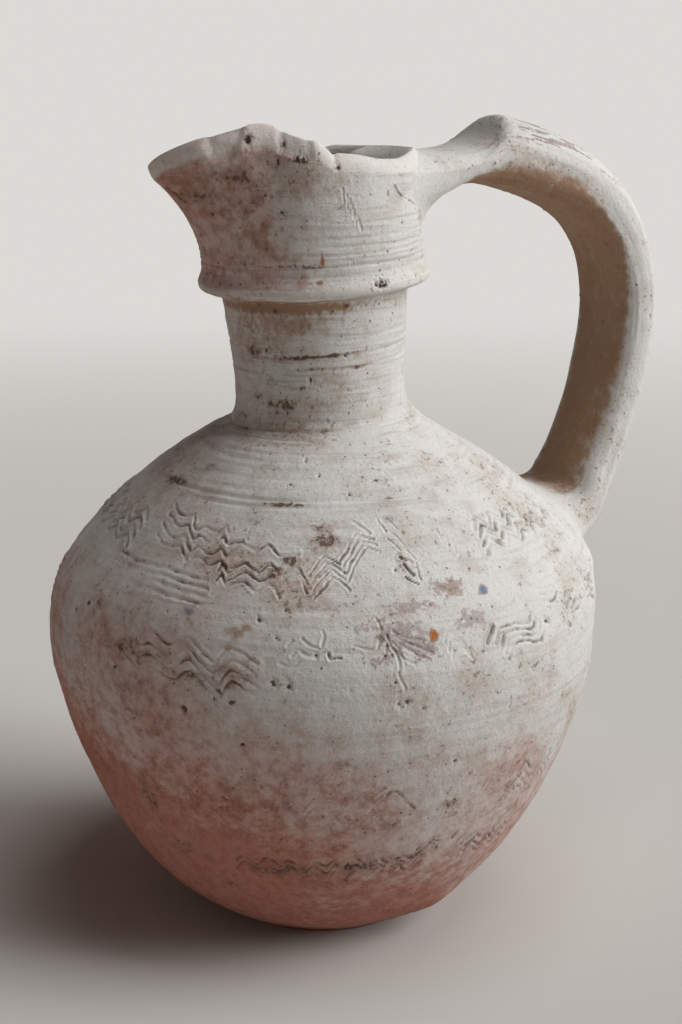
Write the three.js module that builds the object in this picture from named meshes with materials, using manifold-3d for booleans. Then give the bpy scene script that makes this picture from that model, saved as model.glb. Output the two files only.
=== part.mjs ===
// A wheel-thrown, unglazed earthenware oinochoe: a round body on a small flat foot, a narrow neck,
// a collar with a flange and a pinched spout, and a strap handle from the rim to the shoulder.
// Millimetres, +Z up. The origin is the centre of the foot's flat underside.
// The handle stands towards +X and the spout points to -X.
import * as THREE from "three";
import { mergeVertices } from "three/addons/utils/BufferGeometryUtils.js";
import Module from "manifold-3d";

const wasm = await Module();
wasm.setup();

// Body
const footRadius = 29.5;
const toeHeight = 1.2; // the upright edge of the foot
const floorThickness = 6;
const floorRadius = 22; // the flat inside of the floor
const bellyRadius = 80.2;
const bodyWall = 6;
const lowerLineHeight = 81; // scored line between the lower bowl and the belly
const widestAbove = 9; // the widest level, above that line
const beltHeight = 36; // from the lower scored line up to the one between belly and shoulder
const shoulderHeight = 33.5; // from the upper scored line to where the shoulder meets the neck
const coilHeight = 5; // the coil luted round the foot of the neck
const coilBulge = 0.5;

// Neck, flange and collar
const neckRadius = 24.3;
const neckTopRadius = 26.4;
const neckWall = 5;
const neckLength = 35.2;
const neckFlare = 0.6; // at the neck's foot
const flangeRadius = 32.7;
const flangeHeight = 5.8;
const flangeRound = 1; // rounding of the flange's lip
const collarRadius = 31.5;
const collarWall = 4.8;
const collarHeight = 31.1;
const leanDegrees = 3.1; // neck and collar lean towards the spout
const leanLength = 5; // length of wall in which the lean begins

// Mouth
const spoutReach = 17.5;
const spoutSpread = 25; // degrees
const spoutRise = -5.5;
const pinchAngle = 46; // degrees from the spout's middle
const pinchSpread = 15; // degrees
const pinchDepth = 3.5;
const peakAngle = 34; // the lip's peak on the -Y side, in degrees from the spout's middle
const peakRise = 10.5;
const peakSlope = 34; // degrees, towards the spout
const peakFall = 35; // degrees, towards the handle
const tipLift = 1.9; // the rim beside the spout's tip, on the -Y side
const tipLiftAngle = 8; // degrees from the spout's middle
const tipLiftSpread = 12; // degrees
const farLift = 2; // the rim on the +Y side, highest beside the handle
const farLiftAngle = 165; // degrees from the spout's middle
const farLiftSpread = 55; // degrees

// Scored and combed decoration. A comb's pull is [from, to, teeth], in degrees from the handle.
const ringAbove = 18.6; // the scored ring on the shoulder, above the upper scored line
const shoulderCombAbove = 11; // the middle of its top waves, above the same line
const bellyCombBelow = 10; // and of the belly's, below it
const toothStep = 2.1; // from one tooth's groove down to the next
const grooveDepth = 0.6;
const grooveHalf = 0.7; // half the groove's width, up the wall
const shoulderWave = [3.6, 1.4]; // half a wave in degrees, and its height above and below its middle
const bellyWave = [4.7, 1.8];
const shoulderPulls = [
  [-164, -146, 4], [-143, -118, 6], [-117, -100, 4], [-98, -84, 3], [-72, -30, 4],
  [30, 59, 5], [62, 91, 5], [95, 121, 4], [124, 150, 5], [153, 190, 4],
];
const bellyPulls = [
  [-172, -123, 4], [-106, -92, 3], [-90, -81, 3], [-79, -65, 3], [-56, -28, 4],
  [27, 69, 4], [73, 115, 4], [119, 180, 4],
];

// The wall swells where the handle's foot was pressed on.
const swellDepth = 5;
const swellDegrees = 32;
const swellSide = -12; // degrees from the handle, towards -Y
const swellBelow = 12;
const swellAbove = 26;

// Handle
const strapWidth = 30;
const strapRootWidth = 34;
const strapFootWidth = 38;
const strapThickness = 11.5;
const cornerPower = 0.55; // below 1 the section's corners are squarer than an ellipse's
const crestThickness = 20.3;
const rootThickness = 16.5;
const crestReach = 27.9; // the crest's distance beyond the collar's wall
const crestRise = 10.4; // the crest's height above the rim
const gripReach = 27.2; // the strap's greatest distance beyond the belly
const gripDrop = 46.6; // how far below the rim that is
const footBelow = 6; // where the strap meets the wall, below the upper scored line
const footThickness = 13;
const footStep = 8; // how far the strap's back still stands out at the foot
const rootDrop = 0.1; // the strap's back leaves the collar this far below the rim
const footDepth = 25; // how far the foot reaches into the block that it is cut back by
const jointGap = 0.3;

const columns = 48; // around the axis
const wallSteps = 8;
const sectionPoints = 20; // around the strap
const strapSteps = 9; // along each half of the strap
const shortestEdge = 0.03;

const degrees = THREE.MathUtils.degToRad;
const bump = (distance, spread) => Math.exp(-((distance / spread) ** 2));
const bellyHeight = lowerLineHeight + widestAbove;
const upperLineHeight = lowerLineHeight + beltHeight;
const domeTop = upperLineHeight + shoulderHeight;
const footHeight = upperLineHeight - footBelow;
const coilBase = domeTop - coilHeight;
const leanStart = coilBase;
const neckBase = coilBase + coilHeight;
const flangeBase = neckBase + neckLength;
const collarBase = flangeBase + flangeHeight;
const rimHeight = collarBase + collarHeight;

// Radius of the lower wall between the floor or toe and the belly.
function bowlRadius(z, startRadius, startHeight, widest) {
  const left = 1 - Math.max(0, z - startHeight) / (bellyHeight - startHeight);
  return startRadius + (widest - startRadius) * (1 - left ** 1.7) ** 0.67;
}

// Radius of the shoulder, a parabola that falls to the neck at the top.
function domeRadius(z, widest, top, neck) {
  const climb = (z - bellyHeight) / (top - bellyHeight);
  return climb < 1 ? neck + (widest - neck) * (1 - climb ** 1.95) : neck;
}

function outerRadius(z) {
  return z < bellyHeight
    ? bowlRadius(z, footRadius, toeHeight, bellyRadius)
    : domeRadius(z, bellyRadius, domeTop, neckRadius);
}

function innerRadius(z) {
  return z < bellyHeight
    ? bowlRadius(z, floorRadius, floorThickness, bellyRadius - bodyWall)
    : domeRadius(z, bellyRadius - bodyWall, domeTop - bodyWall, neckRadius - neckWall);
}

// How far the wall stands out beyond a round one, by angle from the handle in degrees.
function swell(angle, z) {
  const reach = z < footHeight ? swellBelow : swellAbove;
  return swellDepth * bump(angle - swellSide, swellDegrees) * bump(z - footHeight, reach);
}

// The collar's spout and its two pinches: how far a point moves out and up.
function mouth(angle, z) {
  const up = Math.max(0, (z - collarBase) / collarHeight);
  const fromSpout = 180 - Math.abs(angle);
  const spout = bump(fromSpout, spoutSpread);
  const pinch = bump(fromSpout - pinchAngle, pinchSpread);
  const nearSide = angle < 0 ? fromSpout : -fromSpout;
  const peak = bump(nearSide - peakAngle, nearSide < peakAngle ? peakSlope : peakFall);
  const tip = bump(nearSide - tipLiftAngle, tipLiftSpread);
  const behind = nearSide > 0 ? nearSide - 360 : nearSide;
  const far = bump(behind + farLiftAngle, farLiftSpread);
  return {
    up,
    out: spoutReach * spout * up ** 2.3 - pinchDepth * pinch * up ** 1.5,
    rise: (peakRise * peak + spoutRise * spout + tipLift * tip + farLift * far) * up ** 2,
  };
}

// The axis turns from upright to its full lean over leanLength, and is straight above that.
function lean(x, z) {
  const above = Math.max(0, z - leanStart);
  const bent = Math.min(above, leanLength);
  const turn = (degrees(leanDegrees) * bent) / leanLength;
  const side = (turn * bent) / 2 + Math.sin(turn) * (above - bent);
  const height = z < leanStart ? z : leanStart + bent + Math.cos(turn) * (above - bent);
  return [x * Math.cos(turn) - side, height + x * Math.sin(turn)];
}

// Gives a turned wall the shape that hands left it in.
function handShape(geometry) {
  const places = geometry.getAttribute("position");
  for (let i = 0; i < places.count; i++) {
    const [x, y, z] = [places.getX(i), places.getY(i), places.getZ(i)];
    const radius = Math.hypot(x, y);
    const angle = THREE.MathUtils.radToDeg(Math.atan2(y, x));
    const { up, out, rise } = mouth(angle, z);
    const pushed = swell(angle, z) * Math.min(1, radius / floorRadius);
    const moved = radius < 1e-6 ? 1 : (radius + pushed + out) / radius;
    const [leanX, leanZ] = lean(x * moved, z + rise);
    const level = up ** 2 * x * moved * Math.sin(degrees(leanDegrees)); // the rim was cut level
    places.setXYZ(i, leanX, y * moved, leanZ - level);
  }
  return geometry;
}

// A ring or disc turned on the wheel from a closed profile of [radius, height] points.
function turned(profile) {
  const points = profile.map(([radius, height]) => new THREE.Vector2(radius, height));
  const geometry = new THREE.LatheGeometry([...points, points[0]], columns);
  return handShape(geometry.rotateX(Math.PI / 2));
}

// Evenly spaced values, or closer together near the start where ease is over 1.
function steps(from, to, count, ease = 1) {
  return Array.from({ length: count + 1 }, (_, i) => from + (to - from) * (i / count) ** ease);
}

// One lift of the wall, between two heights.
function wallBetween(low, high, count, ease = 1) {
  const heights = steps(low, high, count, ease);
  return turned([
    ...heights.map((z) => [outerRadius(z), z]),
    ...heights.reverse().map((z) => [innerRadius(z), z]),
  ]);
}

function baseDisc() {
  const side = steps(toeHeight, floorThickness, 3).map((z) => [outerRadius(z), z]);
  return turned([[0, 0], [footRadius, 0], ...side, [floorRadius, floorThickness], [0, floorThickness]]);
}

// The luting coil's outside is a small round over the corner where shoulder and neck meet.
function neckFootCoil() {
  const outside = steps(0, 1, 4).map((part) => {
    const straight = THREE.MathUtils.lerp(outerRadius(coilBase), neckRadius + neckFlare, Math.sqrt(part));
    return [straight + coilBulge * Math.sin(Math.PI * part), coilBase + coilHeight * part];
  });
  return turned([...outside, [neckRadius - neckWall, neckBase], [innerRadius(coilBase), coilBase]]);
}

function neckTube() {
  const radiusAt = (part) => THREE.MathUtils.lerp(neckRadius, neckTopRadius, part ** 1.5);
  const parts = steps(0, 1, 5);
  const flare = (part) => neckFlare * (1 - part) ** 6;
  const outside = parts.map((part) => [radiusAt(part) + flare(part), neckBase + neckLength * part]);
  const inside = parts.map((part) => [radiusAt(part) - neckWall, neckBase + neckLength * part]);
  return turned([...outside, ...inside.reverse()]);
}

// The step from the neck out to the collar, with its rounded lip.
function flangeRing() {
  return turned([
    [neckTopRadius, flangeBase],
    [flangeRadius - flangeRound, flangeBase + flangeHeight * 0.33],
    [flangeRadius, flangeBase + flangeHeight * 0.6],
    [flangeRadius - flangeRound * 0.3, flangeBase + flangeHeight * 0.8],
    [collarRadius, collarBase],
    [collarRadius - collarWall, collarBase],
    [neckTopRadius - neckWall, flangeBase],
  ]);
}

function mouthCollar() {
  const round = collarWall / 2; // the lip's rounding
  const wall = steps(collarBase, rimHeight - round, wallSteps);
  const lip = steps(0, Math.PI, 4).slice(1, -1).map((turn) => [
    collarRadius - round + round * Math.cos(turn),
    rimHeight - round + round * Math.sin(turn),
  ]);
  return turned([
    ...wall.map((z) => [collarRadius, z]),
    ...lip,
    ...wall.reverse().map((z) => [collarRadius - collarWall, z]),
  ]);
}

// The strap in its plane of symmetry, as an outside and an inside line in three stretches:
// collar to crest, crest to grip, and grip to the foot. Each has its ends and two pulls.
const collarX = lean(collarRadius, rimHeight)[0];
const rimZ = lean(0, rimHeight)[1];
const rootX = collarX - collarWall / 2;
const crestX = collarX + crestReach;
const crestZ = rimZ + crestRise;
const gripX = bellyRadius + gripReach;
const gripZ = rimZ - gripDrop;
const wallAtFoot = outerRadius(footHeight) + swell(0, footHeight);
const footX = wallAtFoot + footStep;
const footZ = footHeight - footThickness / 2;

// A curve between two points. Each of its two pulls is a share of the way across and of the way up.
function bow(from, to, near, far) {
  const { lerp } = THREE.MathUtils;
  const pull = ([across, up]) => at(lerp(from.x, to.x, across), lerp(from.y, to.y, up));
  return new THREE.CubicBezierCurve(from, pull(near), pull(far), to);
}

const at = (x, z) => new THREE.Vector2(x, z);
const crest = at(crestX, crestZ);
const grip = at(gripX, gripZ);
const foot = at(footX, footZ);
const outside = [
  bow(at(rootX, rimZ - rootDrop), crest, [1.08, 0.19], [0.81, 0.57]),
  bow(crest, grip, [0.23, 0.07], [0.97, 0.15]),
  bow(grip, foot, [0, 0.36], [0.59, 0.75]),
];
const underCrest = at(crestX, crestZ - crestThickness);
const insideGrip = at(gripX - strapThickness, gripZ);
const insideFoot = at(wallAtFoot, footZ + footThickness);
const inside = [
  bow(at(rootX, rimZ - rootThickness), underCrest, [0.22, 0.91], [0.39, 1.71]),
  bow(underCrest, insideGrip, [0.53, 0.16], [0.93, 0.28]),
  bow(insideGrip, insideFoot, [0, 0.36], [0.55, 0.74]),
];

// One section of the strap, across the handle's plane: squarish, with a rounder back near the crest.
function strapSection(stretchNumber, part, width, round) {
  const out = outside[stretchNumber].getPoint(part);
  const back = inside[stretchNumber].getPoint(part);
  const middle = out.clone().add(back).multiplyScalar(0.5);
  const half = out.clone().sub(back).multiplyScalar(0.5);
  const curved = (value, power) => Math.sign(value) * Math.abs(value) ** power;
  return Array.from({ length: sectionPoints }, (_, i) => {
    const turn = (2 * Math.PI * i) / sectionPoints;
    const power = Math.sin(turn) > 0 ? THREE.MathUtils.lerp(cornerPower, 1, round) : cornerPower;
    const across = curved(Math.cos(turn), power);
    const up = curved(Math.sin(turn), power);
    return [middle.x + half.x * up, (width / 2) * across, middle.y + half.y * up];
  });
}

// A closed solid through a row of sections.
function loft(sections) {
  const count = sections[0].length;
  const points = sections.flat();
  const faces = [];
  for (let s = 0; s < sections.length - 1; s++) {
    for (let i = 0; i < count; i++) {
      const [a, b] = [s * count + i, s * count + ((i + 1) % count)];
      faces.push(a, b, b + count, a, b + count, a + count);
    }
  }
  const last = (sections.length - 1) * count;
  for (let i = 1; i < count - 1; i++) {
    faces.push(0, i + 1, i);
    faces.push(last, last + i, last + i + 1);
  }
  const geometry = new THREE.BufferGeometry();
  geometry.setAttribute("position", new THREE.Float32BufferAttribute(points.flat(), 3));
  return geometry.setIndex(faces);
}

function solid(geometry) {
  const bare = geometry.clone();
  bare.deleteAttribute("normal");
  bare.deleteAttribute("uv");
  const merged = mergeVertices(bare, 1e-3);
  return new wasm.Manifold(
    new wasm.Mesh({
      numProp: 3,
      vertProperties: new Float32Array(merged.getAttribute("position").array),
      triVerts: new Uint32Array(merged.index.array),
    }),
  );
}

function geometryOf(manifold) {
  const mesh = manifold.getMesh();
  const geometry = new THREE.BufferGeometry();
  geometry.setAttribute("position", new THREE.Float32BufferAttribute(mesh.vertProperties, 3));
  return geometry.setIndex(new THREE.Uint32BufferAttribute(mesh.triVerts, 1));
}

// What the handle's ends are cut back by: the pot's outside, grown by the joint's gap.
function collarBlock() {
  const wall = steps(flangeBase, rimHeight + crestRise, wallSteps);
  return turned([[0, wall[0]], ...wall.map((z) => [collarRadius + jointGap, z]), [0, wall.at(-1)]]);
}

function shoulderBlock() {
  const gap = jointGap * Math.SQRT2; // the wall slopes about 45 degrees at the foot
  const wall = steps(lowerLineHeight, domeTop, 2 * wallSteps);
  return turned([[0, wall[0]], ...wall.map((z) => [outerRadius(z) + gap, z]), [0, domeTop]]);
}

const footStart = 0.72; // the foot is the last part of the third stretch

function handleSaddle() {
  const sections = steps(0, 1, 6).map((part) =>
    strapSection(0, part, THREE.MathUtils.lerp(strapRootWidth, strapWidth, part), part),
  );
  return geometryOf(solid(loft(sections)).subtract(solid(collarBlock())));
}

function handleStrap() {
  const upper = steps(0, 1, strapSteps).map((part) => strapSection(1, part, strapWidth, 1 - part));
  const lower = steps(0, footStart, strapSteps - 2).map((part) => strapSection(2, part, strapWidth, 0));
  return loft([...upper, ...lower.slice(1)]);
}

function handleFoot() {
  const sections = steps(footStart, 1, 5).map((part) => {
    const spread = ((part - footStart) / (1 - footStart)) ** 2;
    return strapSection(2, part, THREE.MathUtils.lerp(strapWidth, strapFootWidth, spread), 0);
  });
  const buried = sections.at(-1).map(([x, y, z]) => [x - footDepth, y, z - footThickness / 2]);
  return geometryOf(solid(loft([...sections, buried])).subtract(solid(shoulderBlock())));
}

// Grooves that a comb leaves in the wall: one V-shaped cutter for each tooth, in waves.
function combed(pull, level, [halfWave, rise]) {
  const [from, to, teeth] = pull;
  const turns = Math.round((to - from) / halfWave);
  return steps(0, teeth - 1, teeth - 1).map((tooth) => {
    const sections = steps(from, to, turns).map((angle, i) =>
      grooveSection(angle, level - tooth * toothStep + (i % 2 ? rise : -rise)),
    );
    return solid(handShape(loft(sections)));
  });
}

// A groove's section: its two edges stand off the wall, and its point lies in it.
function grooveSection(angle, z) {
  const slope = outerRadius(z + 0.5) - outerRadius(z - 0.5);
  const long = Math.hypot(slope, 1);
  const [upR, upZ] = [slope / long, 1 / long];
  const corners = [[2 * grooveHalf, grooveDepth], [-2 * grooveHalf, grooveDepth], [0, -grooveDepth]];
  return corners.map(([up, out]) => {
    const radius = outerRadius(z) + up * upR + out * upZ;
    return [
      radius * Math.cos(degrees(angle)),
      radius * Math.sin(degrees(angle)),
      z + up * upZ - out * upR,
    ];
  });
}

// A stretch of wall with its grooves cut, and edges too short to matter taken out.
function decorated(wall, cutters) {
  return geometryOf(solid(wall).subtract(wasm.Manifold.union(cutters)).simplify(shortestEdge));
}

function bellyWallPiece() {
  const level = upperLineHeight - bellyCombBelow;
  const cutters = bellyPulls.flatMap((pull) => combed(pull, level, bellyWave));
  return decorated(wallBetween(lowerLineHeight, upperLineHeight, wallSteps), cutters);
}

function shoulderDomePiece() {
  const level = upperLineHeight + shoulderCombAbove;
  const cutters = shoulderPulls.flatMap((pull) => combed(pull, level, shoulderWave));
  const corners = grooveSection(0, upperLineHeight + ringAbove);
  const ring = solid(turned(corners.reverse().map(([radius, , z]) => [radius, z])));
  return decorated(wallBetween(upperLineHeight, coilBase, wallSteps), [...cutters, ring]);
}

const slip = { color: "#cfc6ba", roughness: 0.92, metalness: 0 };
const clay = { color: "#a88c7d", roughness: 0.95, metalness: 0 };

function piece(name, geometry, look) {
  const mesh = new THREE.Mesh(geometry, new THREE.MeshStandardMaterial(look));
  mesh.geometry.computeVertexNormals();
  mesh.name = name;
  return mesh;
}

const oinochoe = new THREE.Group();
oinochoe.add(
  piece("base_disc", baseDisc(), clay),
  piece("lower_bowl", wallBetween(floorThickness, lowerLineHeight, wallSteps + 3, 1.6), clay),
  piece("belly_wall", bellyWallPiece(), slip),
  piece("shoulder_dome", shoulderDomePiece(), slip),
  piece("neck_foot_coil", neckFootCoil(), slip),
  piece("neck_tube", neckTube(), slip),
  piece("flange_ring", flangeRing(), slip),
  piece("mouth_collar", mouthCollar(), slip),
  piece("handle_saddle", handleSaddle(), slip),
  piece("handle_strap", handleStrap(), slip),
  piece("handle_foot", handleFoot(), slip),
);

export default oinochoe;
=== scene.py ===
import math

import bpy
import numpy as np
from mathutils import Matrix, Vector


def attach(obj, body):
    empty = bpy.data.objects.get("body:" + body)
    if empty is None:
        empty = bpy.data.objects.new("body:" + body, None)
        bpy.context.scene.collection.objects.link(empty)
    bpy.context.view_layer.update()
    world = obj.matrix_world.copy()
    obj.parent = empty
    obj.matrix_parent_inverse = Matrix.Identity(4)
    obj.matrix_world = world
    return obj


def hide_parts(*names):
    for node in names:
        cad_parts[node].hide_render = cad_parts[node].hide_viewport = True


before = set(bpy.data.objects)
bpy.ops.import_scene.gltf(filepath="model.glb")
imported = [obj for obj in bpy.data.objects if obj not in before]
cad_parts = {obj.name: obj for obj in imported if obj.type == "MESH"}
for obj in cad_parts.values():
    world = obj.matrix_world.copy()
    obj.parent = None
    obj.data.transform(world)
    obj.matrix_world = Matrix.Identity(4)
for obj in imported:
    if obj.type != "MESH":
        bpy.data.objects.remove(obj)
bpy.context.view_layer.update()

# Foot disc.
# The real one is the flat bottom of the jug: a disc of buff clay beaten onto the wheel head and
# opened with the thumbs. It was cut off with a string, so its underside has faint curved lines.

# The outside of the wall as the potter's template would give it: height, then radius, in mm.
TEMPLATE = [
    (0, 28.9), (0.6, 29.5), (1.4, 30.6), (3, 33.4), (5, 36.8), (8, 41.2), (12, 46), (16, 50), (22, 55.2),
    (28, 59.3), (35, 63.5), (42, 67), (50, 70.5), (58, 73.5), (66, 76), (74, 78), (82, 79.3), (90, 79.7),
    (97, 79.1), (104, 77), (111, 73), (118, 67.2), (124, 61.4), (130, 54.8), (135, 48.7), (140, 41.9),
    (143, 37.3), (145.5, 33.2), (147.2, 30.1), (148.6, 28), (150.2, 26.2), (152.4, 25), (156, 24.4),
    (162, 24.3), (170, 24.8), (178, 25.6), (184.6, 26.35), (185.7, 26.9), (186.4, 28.2), (187, 30.3),
    (187.7, 32), (188.6, 32.6), (189.6, 32.65), (190.6, 32.3), (191.8, 31.7), (193, 31.35), (195, 31.2),
    (200, 31.35), (208, 31.5), (216, 31.5), (224, 31.5),
]
WALL_FOOT = 6  # top of the foot disc
LEAN_START = 145.5  # height where the neck begins to lean
LEAN_LENGTH = 5  # height that the bend takes
LEAN = math.radians(3.1)  # neck and collar lean towards the spout
COLLAR_BASE = 191.5
RIM = 222.6  # the rim's height before it was pulled
COLUMNS = 1080  # round the jug, closer together on the side that the bands are clearest on
NO_LINE = 4.0  # distance in mm given where no line is near
MM = 1000  # millimetres in a metre: every size here is in mm, and the scene is in metres


def through(points, at):
    """A smooth line through measured points, which never swings past them."""
    x, y = np.array(points, float).T
    step = np.diff(x)
    rise = np.diff(y) / step
    slope = np.concatenate([rise[:1], np.zeros(len(x) - 2), rise[-1:]])
    before, after = 2 * step[1:] + step[:-1], step[1:] + 2 * step[:-1]
    same = rise[:-1] * rise[1:] > 0
    left, right = np.where(same, rise[:-1], 1), np.where(same, rise[1:], 1)
    slope[1:-1] = np.where(same, (before + after) / (before / left + after / right), 0)
    k = np.clip(np.searchsorted(x, at) - 1, 0, len(x) - 2)
    t = (np.asarray(at, float) - x[k]) / step[k]
    return (
        (1 + 2 * t) * (1 - t) ** 2 * y[k]
        + t * (1 - t) ** 2 * step[k] * slope[k]
        + t * t * (3 - 2 * t) * y[k + 1]
        + t * t * (t - 1) * step[k] * slope[k + 1]
    )


def bump(distance, spread):
    return np.exp(-((distance / spread) ** 2))


def smooth(share):
    """A soft step from 0 to 1."""
    share = np.clip(share, 0, 1)
    return share * share * (3 - 2 * share)


def turn(angle):
    """An angle in degrees brought between -180 and 180."""
    return (np.asarray(angle, float) + 180) % 360 - 180


def rim_height(angle):
    """How far the hand-pulled rim stands above or below a level one, by angle from the handle."""
    from_spout = turn(angle + 180)  # positive on the side with the high lip
    peak = from_spout - 34
    raised = 10.4 * bump(peak, np.where(peak > 0, 35, 34)) + 1.4 * bump(from_spout - 8, 12)
    dropped = -5.5 * bump(from_spout, 25)
    behind = np.where(from_spout > 0, from_spout - 360, from_spout)
    far_side = 1.9 * smooth((-115 - behind) / 18) * smooth((behind + 240) / 34)
    step = 0.7 * bump(from_spout - 64, 6) + 1.3 * bump(from_spout - 71, 5) + 0.9 * bump(from_spout - 91, 12)
    knocks = -0.7 * bump(from_spout - 79, 2) - 0.6 * bump(from_spout - 27, 8) - 0.4 * bump(from_spout - 50, 3)
    return raised + dropped + far_side + step + knocks


def place(angle, height, radius):
    """Points in mm of a wall turned on the wheel, with its pinched spout, swelling and lean."""
    from_spout = 180 - np.abs(turn(angle))
    up = np.clip((height - COLLAR_BASE) / (RIM - COLLAR_BASE), 0, None)
    out = 17.5 * bump(from_spout, 25) * up**2.3 - 3.5 * bump(from_spout - 46, 15) * up**1.5
    swollen = 5 * bump(turn(angle + 12), 32) * bump(height - 111, np.where(height < 111, 12, 26))
    radius = radius + out + swollen * np.minimum(1, radius / 22)
    height = height + rim_height(angle) * up**2
    x, y = radius * np.cos(np.radians(angle)), radius * np.sin(np.radians(angle))
    above = np.maximum(0, height - LEAN_START)
    bent = np.minimum(above, LEAN_LENGTH)
    tilt = LEAN * bent / LEAN_LENGTH
    side = tilt * bent / 2 + np.sin(tilt) * (above - bent)
    axis = np.where(height < LEAN_START, height, LEAN_START + bent + np.cos(tilt) * (above - bent))
    level = up**2 * x * math.sin(LEAN)
    return np.stack([x * np.cos(tilt) - side, y, axis + x * np.sin(tilt) - level], -1)


def cloud(places, size, seed):
    """Soft seeded blotches from 0 to 1, each about size mm across."""
    dice = np.random.default_rng(seed).random((32, 32, 32))
    spot = np.asarray(places) / size + 64
    low = np.floor(spot).astype(int)
    part = spot - low
    part = part * part * (3 - 2 * part)
    total = np.zeros(spot.shape[:-1])
    for corner in np.ndindex(2, 2, 2):
        share = np.prod(np.where(np.array(corner) == 1, part, 1 - part), axis=-1)
        cell = (low + corner) % 32
        total += share * dice[cell[..., 0], cell[..., 1], cell[..., 2]]
    return total


table = np.linspace(0, 224, 22401)
table_radius = through(TEMPLATE, table)
table_along = np.concatenate([[0], np.cumsum(np.hypot(np.diff(table), np.diff(table_radius)))])


def along(height):
    """Distance up the outside of the wall, measured on its surface."""
    return np.interp(height, table, table_along)


def rows_between(low, high, step):
    """Heights a given distance apart on the surface, with one spare row beyond each end."""
    start, end = along(low), along(high)
    count = max(2, round((end - start) / step))
    gap = (end - start) / count
    heights = np.interp(start + gap * np.arange(-1, count + 2), table_along, table)
    heights[1], heights[-2] = low, high
    return heights


share = np.arange(COLUMNS) / COLUMNS
column_angles = turn(-115 + 360 * share - 22 * np.sin(2 * np.pi * share))

# What tools, fingers and years did to the wall. Each section adds its own marks to these lists.
STAINS = ("soil", "ochre", "mauve")
MARKS = ("line", "hole", *STAINS, "worn", "rubbed", "ringed")
wheel_lines = []  # height, depth, width, and the two angles that it runs between
strokes = []  # scored by a comb or a point: angle and radius there, path, teeth, step, depth, width
pits = []  # small holes: angle, height, radius, depth
stains = []  # kind, angle, height, width and height on the surface, strength


def stain(kind, *spots):
    """Adds stains of one kind: angle, height, width and height on the surface, strength."""
    stains.extend((kind, *spot) for spot in spots)


def scatter(count, kinds, wheres, levels, widths, talls, strengths):
    """Adds stains at random, each measure between its least and its most."""
    for _ in range(count):
        kind = rng.choice(kinds) if len(kinds) > 1 else kinds[0]
        level = rng.uniform(*levels)
        spot = [rng.uniform(*wheres), level, *(rng.uniform(*span) for span in (widths, talls, strengths))]
        stain(kind, spot)


def scored(angle, height):
    """Depth that the strokes add at each point, and the distance in mm to the nearest line."""
    deep, near = np.zeros(angle.shape), np.full(angle.shape, NO_LINE)
    up = along(height)
    for middle, radius, path, teeth, step, depth, width in strokes:
        across = np.radians(turn(angle - middle)) * radius
        for tooth in range(teeth):
            line = path + np.array(step) * tooth
            low, high = line.min(0) - 3, line.max(0) + 3
            inside = (across > low[0]) & (across < high[0]) & (up > low[1]) & (up < high[1])
            if not inside.any():
                continue
            spot = np.stack([across[inside], up[inside]], -1)
            flat = np.stack([across[inside] + middle, up[inside], 0 * spot[:, 0]], -1)
            sway = [cloud(flat, 5, 12) - 0.5, cloud(flat, 5, 13) - 0.5]
            shake = [cloud(flat, 1.7, 14) - 0.5, cloud(flat, 1.7, 15) - 0.5]
            spot = spot + 1.1 * np.stack(sway, -1) + 0.5 * np.stack(shake, -1)
            best = np.full(len(spot), 9.0)
            for start, end in zip(line[:-1], line[1:]):
                run = end - start
                t = np.clip(((spot - start) @ run) / max(run @ run, 1e-9), 0, 1)
                best = np.minimum(best, np.hypot(*(spot - start - t[:, None] * run).T))
            kept = smooth((cloud(flat, 11, 16) - 0.14) / 0.3)  # rubbed away in places
            pressed = kept * (0.35 + 1.1 * cloud(flat, 3, 17 + tooth))
            groove = -bump(best, width) + 0.35 * bump(best - 1.9 * width, 0.85 * width)
            deep[inside] += groove * depth * pressed
            faint = 1.6 * np.maximum(0, 1 - depth * pressed / 0.45)
            near[inside] = np.minimum(near[inside], best + faint)
    return deep, near


def holes(angle, height):
    """Depth that the pits add, and how dark each point is for lying in one."""
    deep, dark = np.zeros(angle.shape), np.zeros(angle.shape)
    up = along(height)
    for where, level, size, depth in pits:
        rise = up - along(level)
        rows = np.where(np.abs(rise[:, 0]) < 4 * size)[0]
        if not len(rows):
            continue
        rows = slice(rows[0], rows[-1] + 1)
        reach = np.radians(turn(angle[rows] - where)) * float(through(TEMPLATE, level))
        ragged = 0.4 + 1.2 * cloud(np.stack([angle[rows] * 1.2, up[rows], 0 * reach + size], -1), 0.8, 18)
        inside = bump(np.hypot(reach, rise[rows]) * ragged, size)
        deep[rows] -= depth * inside
        dark[rows] = np.maximum(dark[rows], inside * min(1, depth / 0.3))
    return deep, dark


def stained(kind, angle, height):
    """How strongly each point is stained, from 0 to 1."""
    total = np.zeros(angle.shape)
    up = along(height)
    ragged = 0.45 + 1.1 * cloud(np.stack([angle, up, 0 * up], -1), 1.1, 25)
    for name, where, level, width, tall, strength in stains:
        if name != kind:
            continue
        rise = (up - along(level)) / tall
        if np.abs(rise).min() > 2.2:
            continue
        reach = np.radians(turn(angle - where)) * float(through(TEMPLATE, level)) / width
        total = np.maximum(total, strength * np.exp(-(reach**2 + rise**2) * ragged))
    return total


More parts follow.
